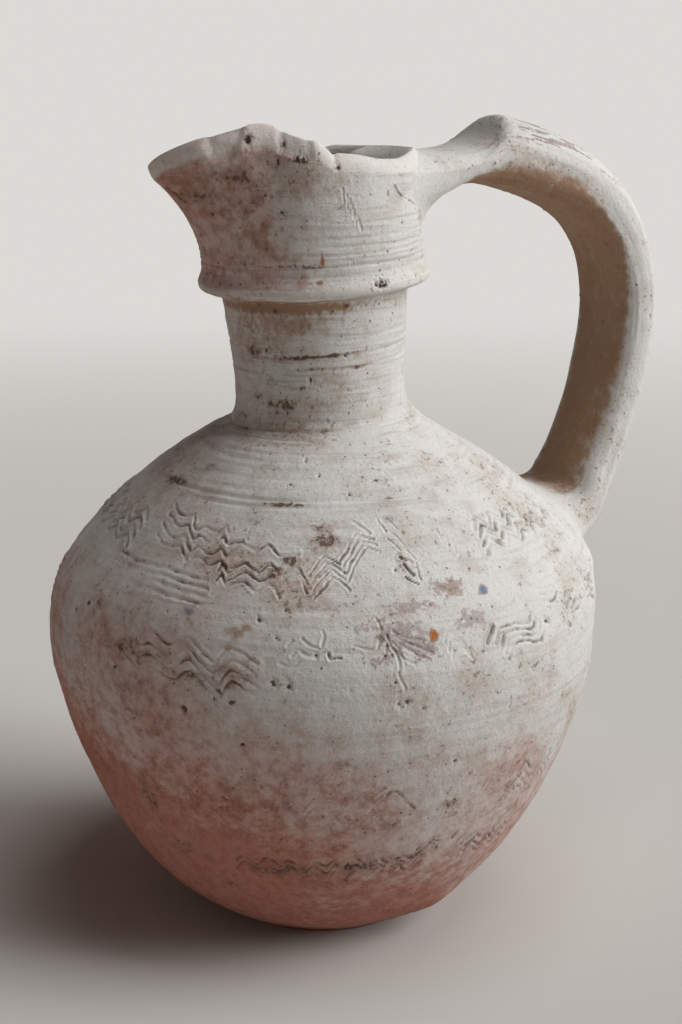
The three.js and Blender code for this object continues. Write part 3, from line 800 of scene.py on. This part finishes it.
# Shoulder dome.
# The real one is the top lift, collared in until it met the neck. Fine wheel lines run round it
# above a scored double groove, and its slip is the best kept on the jug.
COIL_BASE = 145.5
wheel_lines += [
    (135.6, 0.45, 0.55, -186, -84),
    (134.2, 0.3, 0.5, -160, -84),
    (137.6, 0.2, 0.5, -160, -100),
    (140, 0.22, 0.45, -170, -92),
    (141.8, 0.18, 0.4, -165, -95),
    (143.4, 0.2, 0.4, -170, -90),
    (144.9, 0.2, 0.4, -170, -95),
    (135.3, 0.3, 0.55, -60, 178),
    (140.5, 0.2, 0.5, -60, 178),
]
pits += [
    (-60.4, 140.8, 0.7, 0.6), (-105.9, 137, 0.6, 0.5), (-122, 144, 0.6, 0.4),
    (-116, 141, 0.5, 0.4), (-126, 139, 0.6, 0.4), (-95, 139.5, 0.6, 0.3), (-88, 137, 0.5, 0.3),
]
stain(
    "soil",
    (-173, 136, 7, 3, 0.75), (-126, 134.9, 9, 1.1, 0.75), (-104, 136.6, 5, 1.4, 0.6),
    (-164, 140, 9, 3, 0.4), (-163, 134, 9, 3, 0.45), (-85, 144, 5, 3, 0.45),
    (-93, 139, 6, 3, 0.42), (-95, 131.5, 5, 2, 0.5), (-72, 128, 6, 4, 0.4),
)
stain(
    "ochre",
    (-133, 147, 20, 2.2, 0.5), (-100, 142, 12, 4, 0.3), (-80, 136, 10, 4, 0.3),
)
scatter(24, ["soil"], (-50, 175), (120, 146), (3, 8), (1.5, 4), (0.3, 0.55))
shoulder_rows = rows_through([UPPER_LINE, 133, COIL_BASE], [0.52, 0.62])
wall_piece("shoulder_dome", shoulder_rows, 6, column_angles, strips=3)


# Neck-foot coil.
# The real one is a thin coil of clay pressed into the corner where the neck was luted onto the
# body and smoothed with a wet finger. Soil has stained the hollow above it.
NECK_BASE = 150.5
wheel_lines += [(148, 0.25, 0.4, -180, 180), (150.2, 0.3, 0.5, -180, 180)]
stain(
    "soil",
    (-132, 149, 6, 1.2, 0.55), (-109, 149.5, 5, 1.2, 0.55), (-170, 150, 8, 2, 0.5),
)
stain(
    "ochre",
    (-140, 151, 14, 2.5, 0.6), (-118, 150.5, 10, 2, 0.55),
)
neck_angles = column_angles[::2]
wall_piece("neck_foot_coil", rows_between(COIL_BASE, NECK_BASE, 0.4), 3, neck_angles, strips=4)


# Neck tube.
# The real one was thrown separately, flares a little to the top, and leans towards the spout.
# Shallow finger rings run round it, and brown water stains follow them.
FLANGE_BASE = 185.7
wheel_lines += [
    (171, 0.35, 0.45, -165, -30),
    (167.2, 0.28, 0.45, -135, -20),
    (175.2, 0.2, 0.4, -110, -25),
    (173, 0.12, 0.4, -130, -25),
    (160.8, 0.18, 0.4, -120, -30),
    (157, 0.15, 0.5, -170, -40),
    (166, 0.25, 0.5, -20, 200),
    (173, 0.2, 0.5, 0, 190),
]
stain(
    "soil",
    (-112, 170.9, 13, 0.8, 0.8), (-128, 170.6, 9, 1, 0.7), (-92, 171.4, 8, 0.6, 0.6),
    (-145, 171.2, 8, 0.7, 0.55), (-119, 167.6, 6, 0.9, 0.7), (-88, 166.8, 5, 0.7, 0.6),
    (-161, 172, 4, 2, 0.7), (-148, 172.6, 2.5, 1.5, 0.6), (-129, 162.1, 5, 1.2, 0.66),
    (-138, 156.8, 5, 3, 0.78), (-149, 157.3, 2.5, 1.5, 0.7), (-158, 159.4, 3, 2, 0.6),
    (-176, 153, 4, 2, 0.6), (-140, 183.6, 16, 1.6, 0.62), (-96, 184.6, 1.2, 0.8, 0.8),
    (-165, 178, 6, 8, 0.5), (-150, 165, 8, 10, 0.45),
)
stain(
    "ochre",
    (-112, 170.2, 20, 1.4, 0.6), (-92, 167.2, 12, 1.2, 0.6), (-60, 171, 10, 1, 0.5),
    (-115, 157.5, 8, 2.6, 0.62), (-96, 151.4, 4, 1.6, 0.6), (-135, 184.6, 26, 2.6, 1.25),
    (-135, 180, 18, 5, 0.75), (-118, 179, 12, 5, 0.55), (-150, 175, 9, 8, 0.6),
    (-97, 184.3, 1, 0.9, 2.6), (-88, 157.7, 3, 1.6, 0.5),
)
stain("mauve", (-130, 176, 12, 5, 0.3))
pits.append((-119.9, 164.3, 0.7, 0.5))
scatter(26, ["soil", "ochre"], (-20, 170), (152, 184), (2, 8), (1, 3), (0.3, 0.65))
wall_piece("neck_tube", rows_between(NECK_BASE, FLANGE_BASE, 0.4), 2, neck_angles, strips=2)


# Flange ring.
# The real one is the rolled ledge under the collar, turned where neck and collar were joined. Its lip
# is pale from rubbing and painted highlight, a chip has gone from it, and a brown band is painted under it.
wheel_lines += [(193.4, 0.15, 0.35, -180, 180)]
pits += [(-84, 190, 0.8, 0.7), (-81.4, 189.5, 0.8, 0.7), (-78.8, 189.7, 0.8, 0.7), (-80.4, 190.6, 0.8, 0.7)]
# The first soil stain and the first ochre stain below paint a brown band just under the flange's lip, on the
# side away from the handle.
stain(
    "soil",
    (-140, 186.2, 18, 0.9, 0.6), (-81.4, 189.9, 3, 1.6, 0.85),
)
stain(
    "ochre",
    (-135, 186.6, 24, 1.7, 1.2), (-112, 191.8, 0.9, 0.6, 2), (-60, 190, 8, 2, 0.35),
)
wall_piece("flange_ring", rows_between(FLANGE_BASE, COLLAR_BASE, 0.28), 2, neck_angles, strips=3)


# Mouth collar.
# The real one is the upright mouth, thrown with the neck and pinched by two fingers into a spout
# with one high lip. Old knocks broke its edge, and a hair crack runs down beside the handle.
LIP = 2.4  # half the wall's thickness
COLLAR = 31.5  # radius of the wall's outer face
COLLAR_INSIDE = 26.7  # and of its inner one
wheel_lines += [
    (195.6, 0.32, 0.35, -180, 180),
    (196.8, 0.24, 0.3, -105, -40),
    (198.5, 0.26, 0.3, -125, -30),
    (200.4, 0.22, 0.3, -120, -30),
    (203.1, 0.16, 0.35, -115, -30),
    (206.5, 0.1, 0.4, -150, -30),
    (198, 0.2, 0.4, -10, 170),
    (202, 0.2, 0.4, -10, 170),
]
stroke(
    [(-68, 215.4), (-62.5, 212.4), (-57.2, 210.7), (-53.1, 210), (-50, 208.9), (-49.5, 206.8)],
    depth=0.55, width=0.26,
)
stroke([(-181, 216.6), (-178.2, 214.4), (-176.8, 212.4)], depth=0.6, width=0.28)
stroke(
    [(-177.9, 214.5), (-171.5, 215.4), (-163.7, 217), (-155.1, 217.8), (-146, 217.4), (-133, 216.4)],
    depth=0.14, width=0.7,
)
for start, tall in ((-98.5, 215.1), (-96.8, 213.6), (-95.4, 212.6), (-94, 211.2), (-92.6, 209.6), (-91, 208)):
    stroke([(start, tall), (start + 0.6, tall - 3.6)], depth=0.16, width=0.3)
for start in np.arange(-96, -86, 1.3):
    stroke([(start, 196.8), (start + 0.6, 195.2)], depth=0.22, width=0.28)
pits += [
    (-144.3, 220.1, 0.8, 0.6), (-126.9, 220.8, 0.6, 0.5), (-129.8, 217.3, 0.7, 0.5),
    (-119.8, 218.6, 0.8, 0.6), (-116.4, 218.9, 0.6, 0.5), (-100, 219.7, 0.5, 0.4),
    (-164.1, 208.1, 0.5, 0.3), (-157.6, 198.2, 0.4, 0.3), (-169.7, 196.4, 0.5, 0.4),
    (-128.5, 208, 0.6, 0.4), (-137, 211, 0.4, 0.3), (-63.4, 205.3, 0.4, 0.3),
]
stain(
    "soil",
    (-144.5, 210.5, 5, 5, 0.56), (-140, 200, 6, 4, 0.5), (-129, 208, 3, 1.5, 0.62),
    (-130, 196.2, 14, 0.7, 0.72), (-115, 195.6, 9, 0.5, 0.55), (-150, 196.5, 8, 0.6, 0.5),
    (-144.3, 220.1, 1.6, 1.2, 0.8), (-127.5, 220.2, 1.4, 1, 0.75), (-118.5, 218.5, 3, 0.9, 0.85),
    (-100, 219.6, 1.5, 0.8, 0.75), (-163, 205.5, 1, 0.9, 0.7), (-177, 213, 4, 2.4, 0.66),
    # The broad soft soil spots, 9 to 12 mm wide, on the collar's side away from the handle are partly painted
    # shade.
    (-165, 212, 12, 4, 0.52), (-147, 214, 12, 3, 0.56), (-128, 212, 9, 4, 0.46),
    (-152, 206, 12, 7, 0.42), (-133, 204, 9, 6, 0.44),
)
stain(
    "ochre",
    (-142, 203, 10, 9, 0.6), (-163, 214, 14, 8, 0.6), (-42, 206, 4, 7, 0.6),
    (-135, 198, 16, 2.4, 0.6), (-109.7, 197.2, 0.5, 1.1, 2.6),
)
stain(
    "mauve",
    (-110, 214, 16, 6, 0.3), (-160, 202, 14, 8, 0.28),
)
for _ in range(16):
    kind = rng.choice(["soil", "ochre"])
    where, level = rng.uniform(20, 170), rng.uniform(195, 218)
    stain(kind, (where, level, rng.uniform(2, 8), rng.uniform(1, 4), rng.uniform(0.4, 0.7)))

# The lip's section from the outer face over to the inner one: how far in, and how far below the rim.
LIP_IN = [0, 0.2, 0.7, 1.4, 2.1, 2.7, 3.3, 3.9, 4.4, 4.7, 4.8]
LIP_BELOW = [4, 3.2, 2.2, 1.3, 0.55, 0.12, 0, 0.25, 0.8, 1.6, 2.6]
wall_rows = rows_between(COLLAR_BASE, RIM - 4.2, 0.42)[:-1]
inner_rows = np.linspace(RIM - 3.4, COLLAR_BASE, 26)
over_lip = np.linspace(0, len(LIP_IN) - 1, 22)
points = np.arange(len(LIP_IN))
mouth_heights = np.concatenate([wall_rows, RIM - np.interp(over_lip, points, LIP_BELOW), inner_rows])
mouth_radii = np.concatenate([
    through(TEMPLATE, wall_rows),
    COLLAR - np.interp(over_lip, points, LIP_IN),
    np.full(len(inner_rows), COLLAR_INSIDE),
])


def mouth_skin(heights, radii, angles):
    """Both faces of the collar's wall and the lip between them, as one skin."""
    height, angle = spread(heights, angles)
    radius, _ = spread(radii, angles)
    face = np.clip((radius - 27) / 3, 0, 1)  # 1 on the outer face
    pulled = 2.4 * bump(turn(angle), 36) * smooth((height - 208) / 10)  # towards the handle
    at = place(angle, height, radius + pulled * (COLLAR - radius) / (COLLAR - COLLAR_INSIDE))
    deep, marks = worked(angle, height)
    uneven = 0.5 * (cloud(at, 20, 1) - 0.5) + 0.26 * (cloud(at, 6, 2) - 0.5)
    uneven = uneven + 0.08 * (cloud(at, 2.2, 7) - 0.5)
    from_spout = turn(angle + 180)
    ragged = 0.7 + 0.6 * cloud(at, 2.4, 22)
    chipped = smooth((11 - np.abs(from_spout - 59)) / 4) * smooth((height - 218.4) / 0.8)
    scoop = smooth(1.6 - 1.6 * ((angle + 152.8) / 7.5) ** 2 - 1.6 * ((height - RIM) / 6.4) ** 2)
    deep = (deep - 0.55 * chipped * ragged - 0.9 * scoop * ragged) * face
    at = at + normals_of(at) * (deep + uneven)[..., None]
    # The lip's pale band: partly rubbing, partly painted highlight where the lip faces the lamps.
    lip = smooth((height - RIM + 4.6) / 2) * (0.5 + 0.8 * cloud(at, 5, 24))
    line = np.where(face > 0.5, marks["line"], NO_LINE)
    marks = {**{name: values * face for name, values in marks.items()}, "line": line}
    marks["worn"] = np.minimum(wear_and_shade_at(angle, height, at) * (0.4 + 0.6 * face), 0.75)
    marks["rubbed"] = np.maximum(lip, 0.55 * scoop)
    marks["ringed"] = np.full(angle.shape, 0.65)
    return {"at": at, "normal": normals_of(at), **marks}


rim_skin = mouth_skin(mouth_heights, mouth_radii, neck_angles)
rim_skin = {name: values[1:] for name, values in rim_skin.items()}
clay_body("mouth_collar", [rim_skin], strips=3)


# Handle.
# The real one is a pulled strap of clay, luted to the back of the collar and smeared onto the
# shoulder with wet thumbs. Its back is rubbed and its inner face keeps drag lines. The inner face's brown is
# partly soil and partly painted shade, as it faces down and in towards the jug.
collar_x = 27.42  # the collar's outer face behind the rim
rim_z = 222.49
root_x = collar_x - LIP
crest = (collar_x + 27.9, rim_z + 10.15)
grip = (106.7, rim_z - 46.6)
foot = (85.4, 104.5)
under_crest = (crest[0], crest[1] - 20.1)
inside_grip = (grip[0] - 11.5, grip[1])
inside_foot = (77.4, 117.5)


def bow(start, end, near, far):
    """A curve between two points. Its pulls are shares of the way across and up."""
    start, end = np.array(start), np.array(end)
    pulls = start, start + (end - start) * near, start + (end - start) * far, end

    def point(t):
        t = np.asarray(t, float)[..., None]
        weights = (1 - t) ** 3, 3 * t * (1 - t) ** 2, 3 * t * t * (1 - t), t**3
        return sum(w * p for w, p in zip(weights, pulls))

    return point


back_line = [
    bow((root_x, rim_z - 0.1), crest, (1.08, 0.19), (0.81, 0.57)),
    bow(crest, grip, (0.23, 0.07), (0.97, 0.15)),
    bow(grip, foot, (0, 0.36), (0.59, 0.75)),
]
inner_line = [
    bow((root_x, rim_z - 16.5), under_crest, (0.22, 0.91), (0.39, 1.71)),
    bow(under_crest, inside_grip, (0.53, 0.16), (0.93, 0.28)),
    bow(inside_grip, inside_foot, (0, 0.36), (0.55, 0.74)),
]
AROUND = 168  # points round the strap's section
spin = 2 * np.pi * np.arange(AROUND) / AROUND
lift, sideways = np.sin(spin), np.cos(spin)  # out from the jug, and across towards the far side
WIDENING = 2.72  # place along the strap where it begins to widen for the foot


def strap_rows(way):
    """Sections of the strap at places 0 to 3 along it: collar, crest, grip and foot."""
    stretch = np.clip(np.floor(way).astype(int), 0, 2)
    part = way - stretch
    out = np.stack([back_line[s](p) for s, p in zip(stretch, part)])
    back = np.stack([inner_line[s](p) for s, p in zip(stretch, part)])
    round_back = np.clip(np.where(way < 1, way, 2 - way), 0, 1)[:, None]
    width = np.interp(way, [0, 1, WIDENING, 3], [34, 30, 30, 36])[:, None]
    power = np.where(lift[None] > 0, 0.62 + 0.38 * round_back, 0.6)
    up = np.sign(lift) * np.abs(lift[None]) ** power
    across = np.sign(sideways) * np.abs(sideways[None]) ** power
    middle, half = (out + back) / 2, (out - back) / 2
    x = middle[:, :1] + half[:, :1] * up
    z = middle[:, 1:] + half[:, 1:] * up
    return np.stack([x, width / 2 * across, z], -1)


def smear(prints, pulls, section, onward, count):
    """Clay drawn out of the wall: rows from prints on the wall to the strap's section."""
    t = np.linspace(0, 1, count + 1)[:-1, None, None]
    return (
        (1 + 2 * t) * (1 - t) ** 2 * prints
        + t * (1 - t) ** 2 * pulls
        + t * t * (3 - 2 * t) * section
        + t * t * (t - 1) * onward
    )


# Where the root meets the collar: over the lip at the top, spread down the wall below.
ROOT_MIDDLE = 213.5
wall_height = np.where(lift > 0, ROOT_MIDDLE + 7.6 * np.abs(lift) ** 0.25, ROOT_MIDDLE + 13 * lift)
root_angle = (54 - 6 * np.clip(lift, 0, 1)) * sideways
over_lip = np.clip((lift - 0.2) / 0.4, 0, 1)
print_radius = COLLAR - 0.3 - LIP * over_lip
print_height = wall_height + 1.5 * over_lip
root_print = place(root_angle, print_height, print_radius)
root_inward = place(root_angle * 0.9, ROOT_MIDDLE + (print_height - ROOT_MIDDLE) * 0.9, print_radius + 0.3)
root_pull = (root_inward - root_print) * 7.5
root_pull[over_lip > 0] += (np.array([24.0, 0, -1.0]) * over_lip[:, None])[over_lip > 0]
ROOT_JOIN = 0.42  # place along the strap where the root becomes the strap
SMALL_WAY = 0.05
ROOT_ROWS, CREST_ROWS, BACK_ROWS, LOWER_ROWS, FOOT_ROWS = 44, 43, 149, 105, 40
near_root = strap_rows(np.array([ROOT_JOIN, ROOT_JOIN + SMALL_WAY]))
root_onward = (near_root[1] - near_root[0]) / SMALL_WAY * 0.75
root_rows = smear(root_print, root_pull, near_root[0], root_onward, ROOT_ROWS)

# Where the foot meets the shoulder.
FOOT_MIDDLE = 113
FOOT_SPREAD = 23  # half its width on the wall
WALL_RADIUS = 71  # the shoulder's, at that height
foot_height = FOOT_MIDDLE - np.where(lift > 0, 14.5, 12.5) * lift
foot_angle = np.degrees(FOOT_SPREAD * sideways / WALL_RADIUS)
foot_print = place(foot_angle, foot_height, through(TEMPLATE, foot_height) - 0.3)
half_height = FOOT_MIDDLE + (foot_height - FOOT_MIDDLE) * 0.5
foot_inward = place(foot_angle * 0.5, half_height, through(TEMPLATE, half_height))
foot_pull = (foot_inward - foot_print) * 1.3
FOOT_JOIN = 2.86
near_foot = strap_rows(np.array([FOOT_JOIN - SMALL_WAY, FOOT_JOIN]))
foot_onward = -(near_foot[1] - near_foot[0]) / SMALL_WAY * 0.35
foot_rows = smear(foot_print, foot_pull, near_foot[1], foot_onward, FOOT_ROWS)[::-1]

way = np.concatenate([
    np.linspace(ROOT_JOIN, 1, CREST_ROWS, endpoint=False),
    np.linspace(1, 2, BACK_ROWS, endpoint=False),
    np.linspace(2, WIDENING, LOWER_ROWS, endpoint=False),
    np.linspace(WIDENING, FOOT_JOIN, 20),
])
handle_at = np.concatenate([root_rows, strap_rows(way), foot_rows])

# Wet fingers rounded the crest.
crest_row = ROOT_ROWS + CREST_ROWS
rows = np.arange(len(handle_at))
soft = bump(rows - crest_row, 16)[:, None, None]
shifts = np.arange(-10, 11)
weights = bump(shifts, 6) / bump(shifts, 6).sum()
rounded_at = sum(weight * np.roll(handle_at, shift, 0) for shift, weight in zip(shifts, weights))
handle_at = handle_at + soft * (rounded_at - handle_at)

# Drag lines, uneven pulling and nicks.
full_way = np.concatenate([
    np.linspace(0, ROOT_JOIN, ROOT_ROWS, endpoint=False),
    way,
    np.linspace(FOOT_JOIN, 3, FOOT_ROWS + 1)[1:],
])[:, None]
outer = np.broadcast_to(lift, handle_at.shape[:2])
near_side = np.broadcast_to(-sideways, handle_at.shape[:2])
drawn = 0.5 * (cloud(np.stack([full_way * 3 + 0 * outer, outer * 9, near_side * 9], -1), 1, 31) - 0.5)
reach_round = np.cumsum(np.linalg.norm(np.roll(handle_at, -1, 1) - handle_at, axis=-1), axis=1)
drag = bump(np.broadcast_to(spin, outer.shape) - np.radians(231), 0.28) * np.sin(
    reach_round * 5.2 + 5 * cloud(handle_at, 18, 33)
)
uneven = 0.5 * (cloud(handle_at, 16, 34) - 0.5) + 0.2 * (cloud(handle_at, 5, 35) - 0.5)
tail = np.clip(np.minimum(full_way / 0.25, (3 - full_way) / 0.08), 0, 1)
nicks = np.zeros(handle_at.shape[:2])
for _ in range(110):
    row, column = rng.integers(50, len(handle_at) - 40), rng.integers(0, AROUND)
    size = rng.uniform(0.35, 0.75)
    reach = np.linalg.norm(handle_at - handle_at[row, column], axis=-1)
    ragged = 0.6 + 0.8 * cloud(handle_at, 0.9, 37)
    nicks = np.maximum(nicks, bump(reach * ragged, size) * rng.uniform(0.2, 0.9))
normal = -normals_of(handle_at)
dragged = 0.2 * drag * smooth((full_way - 1) / 0.3) * smooth((2.5 - full_way) / 0.3)
push = (0.6 * drawn + dragged + uneven) * tail
handle_at = handle_at + normal * (push - 0.4 * nicks - 0.45 * tail)[..., None]
handle_normal = -normals_of(handle_at)

# The inner face's edge wanders along the strap, and the face fades out at both roots.
edge = np.interp(full_way, [0.3, 0.8, 1.3, 1.7, 2, 2.8], [0.4, -0.1, -0.3, 0.05, 0.3, 0.45])
inner_face_stain_and_shade = smooth((-outer - edge) / 0.6) * smooth((full_way - 0.25) / 0.5)
inner_face_stain_and_shade = inner_face_stain_and_shade * smooth((3 - full_way) / 0.12)
back_face = smooth((outer - 0.1) / 0.5)
streak = cloud(np.stack([full_way * 6 + 0 * outer, outer * 9, near_side * 9], -1), 1, 36)
flecks = cloud(np.stack([full_way * 15 + 0 * outer, outer * 14, near_side * 26], -1), 1, 38)
abraded = back_face * (bump(full_way - 1.03, 0.2) + 0.85 * bump(full_way - 1.4, 0.3))
# Painted shade, partly real soil: the inner face is painted brown with ochre, soil and wear, where it faces
# down towards the jug.
handle_marks = {
    **unmarked(nicks.shape, 0),
    "hole": nicks * (nicks > 0.25),
    "soil": 0.3 * inner_face_stain_and_shade * streak + 0.35 * bump(full_way - 0.8, 0.12) * back_face,
    "ochre": 0.98 * inner_face_stain_and_shade + 0.1 * streak,
    "mauve": 0.95 * abraded * smooth((streak - 0.3) / 0.3) * smooth((flecks - 0.45) / 0.12),
    "worn": 0.1 + 0.3 * inner_face_stain_and_shade,
    "rubbed": 0.9 * bump(outer - 0.35, 0.4) * smooth((full_way - 0.9) / 0.3) * streak,
}


def handle_piece(name, first, last):
    """The handle's skin between two rows, closed by a flat face at each end."""
    rows = slice(first, last + 1)
    skin = {"at": handle_at[rows][:, ::-1], "normal": handle_normal[rows][:, ::-1]}
    skin.update({key: value[rows][:, ::-1] for key, value in handle_marks.items()})
    caps = []
    for row in (0, -1):
        cap = {key: value[row][None] for key, value in skin.items()}
        cap["at"] = np.broadcast_to(skin["at"][row].mean(0), skin["at"][row].shape)[None].copy()
        caps.append(cap)
    clay_body(name, [caps[0], skin, caps[1]], strips=1, ring=False)


foot_row = crest_row + BACK_ROWS + LOWER_ROWS
handle_piece("handle_saddle", 0, crest_row)
handle_piece("handle_strap", crest_row, foot_row)
handle_piece("handle_foot", foot_row, len(handle_at) - 1)


# Studio.
# A plain pale floor that runs into a backdrop of the same colour, and two large soft lamps: a
# strong one in front on the handle's side, and a weak one overhead. The camera is the photo's.
PALE = "#DCDAD6"
LAMP_TARGET = Vector((0.01, 0, 0.11))  # the middle of the jug


def seen_directly():
    """1 for rays that come from the camera, straight, off gloss or through glass, else 0."""
    rays = add(tree, "ShaderNodeLightPath").outputs
    seen = plus(plus(rays["Is Camera Ray"], rays["Is Glossy Ray"]), rays["Is Transmission Ray"])
    return add(tree, "ShaderNodeMath", {0: seen, 1: 1.0}, operation="MINIMUM").outputs[0]


floor_mesh = bpy.data.meshes.new("floor")
floor_mesh.from_pydata([(-9, -9, 0), (9, -9, 0), (9, 9, 0), (-9, 9, 0)], [], [(0, 1, 2, 3)])
floor = bpy.data.objects.new("floor", floor_mesh)
bpy.context.scene.collection.objects.link(floor)
paper = bpy.data.materials.new("matt_background_paper")
paper.use_nodes = True
tree = paper.node_tree
tree.nodes.clear()
spot = add(tree, "ShaderNodeTexCoord").outputs["Object"]
reach = add(tree, "ShaderNodeVectorMath", {0: spot}, operation="LENGTH").outputs["Value"]
far = times(between(reach, 0.3, 1.3), seen_directly())  # from 0.3 to 1.3 m off it turns to backdrop
matt = add(tree, "ShaderNodeBsdfDiffuse", {"Color": colour(PALE), "Roughness": 1.0})
glow = add(tree, "ShaderNodeEmission", {"Color": colour(PALE), "Strength": 1.0})
mixed = add(tree, "ShaderNodeMixShader", {0: far, 1: matt.outputs[0], 2: glow.outputs[0]})
add(tree, "ShaderNodeOutputMaterial", {"Surface": mixed.outputs[0]})
floor_mesh.materials.append(paper)

world = bpy.data.worlds.new("studio")
bpy.context.scene.world = world
world.use_nodes = True
tree = world.node_tree
tree.nodes.clear()
room = add(tree, "ShaderNodeBackground", {"Color": (1, 0.8, 0.7, 1), "Strength": 0.08})
sheet = add(tree, "ShaderNodeBackground", {"Color": colour(PALE), "Strength": 1.0})
mixed = add(tree, "ShaderNodeMixShader", {0: seen_directly(), 1: room.outputs[0], 2: sheet.outputs[0]})
add(tree, "ShaderNodeOutputWorld", {"Surface": mixed.outputs[0]})


def soft_lamp(name, place_at, size, power):
    """A square lamp, its place and size in metres and its power in watts."""
    lamp = bpy.data.lights.new(name, "AREA")
    lamp.shape = "SQUARE"
    lamp.size = size
    lamp.energy = power
    holder = bpy.data.objects.new(name, lamp)
    bpy.context.scene.collection.objects.link(holder)
    holder.location = place_at
    aim = LAMP_TARGET - Vector(place_at)
    holder.rotation_mode = "QUATERNION"
    holder.rotation_quaternion = aim.to_track_quat("-Z", "Y")


soft_lamp("key_softbox", (1.2, -0.8, 0.9), 1.1, 24)
soft_lamp("top_softbox", (0.3, -0.3, 1.6), 0.9, 7)

camera = bpy.data.objects.new("camera", bpy.data.cameras.new("camera"))
bpy.context.scene.collection.objects.link(camera)
camera.data.lens = 59.73
camera.data.sensor_width = 36
camera.data.clip_start = 0.01
camera.location = (-0.2032, -0.43575, 0.24814)
camera.rotation_mode = "QUATERNION"
camera.rotation_quaternion = Vector((0.4187, 0.8709, -0.2575)).to_track_quat("-Z", "Y")
bpy.context.scene.camera = camera
bpy.context.scene.view_settings.view_transform = "Standard"
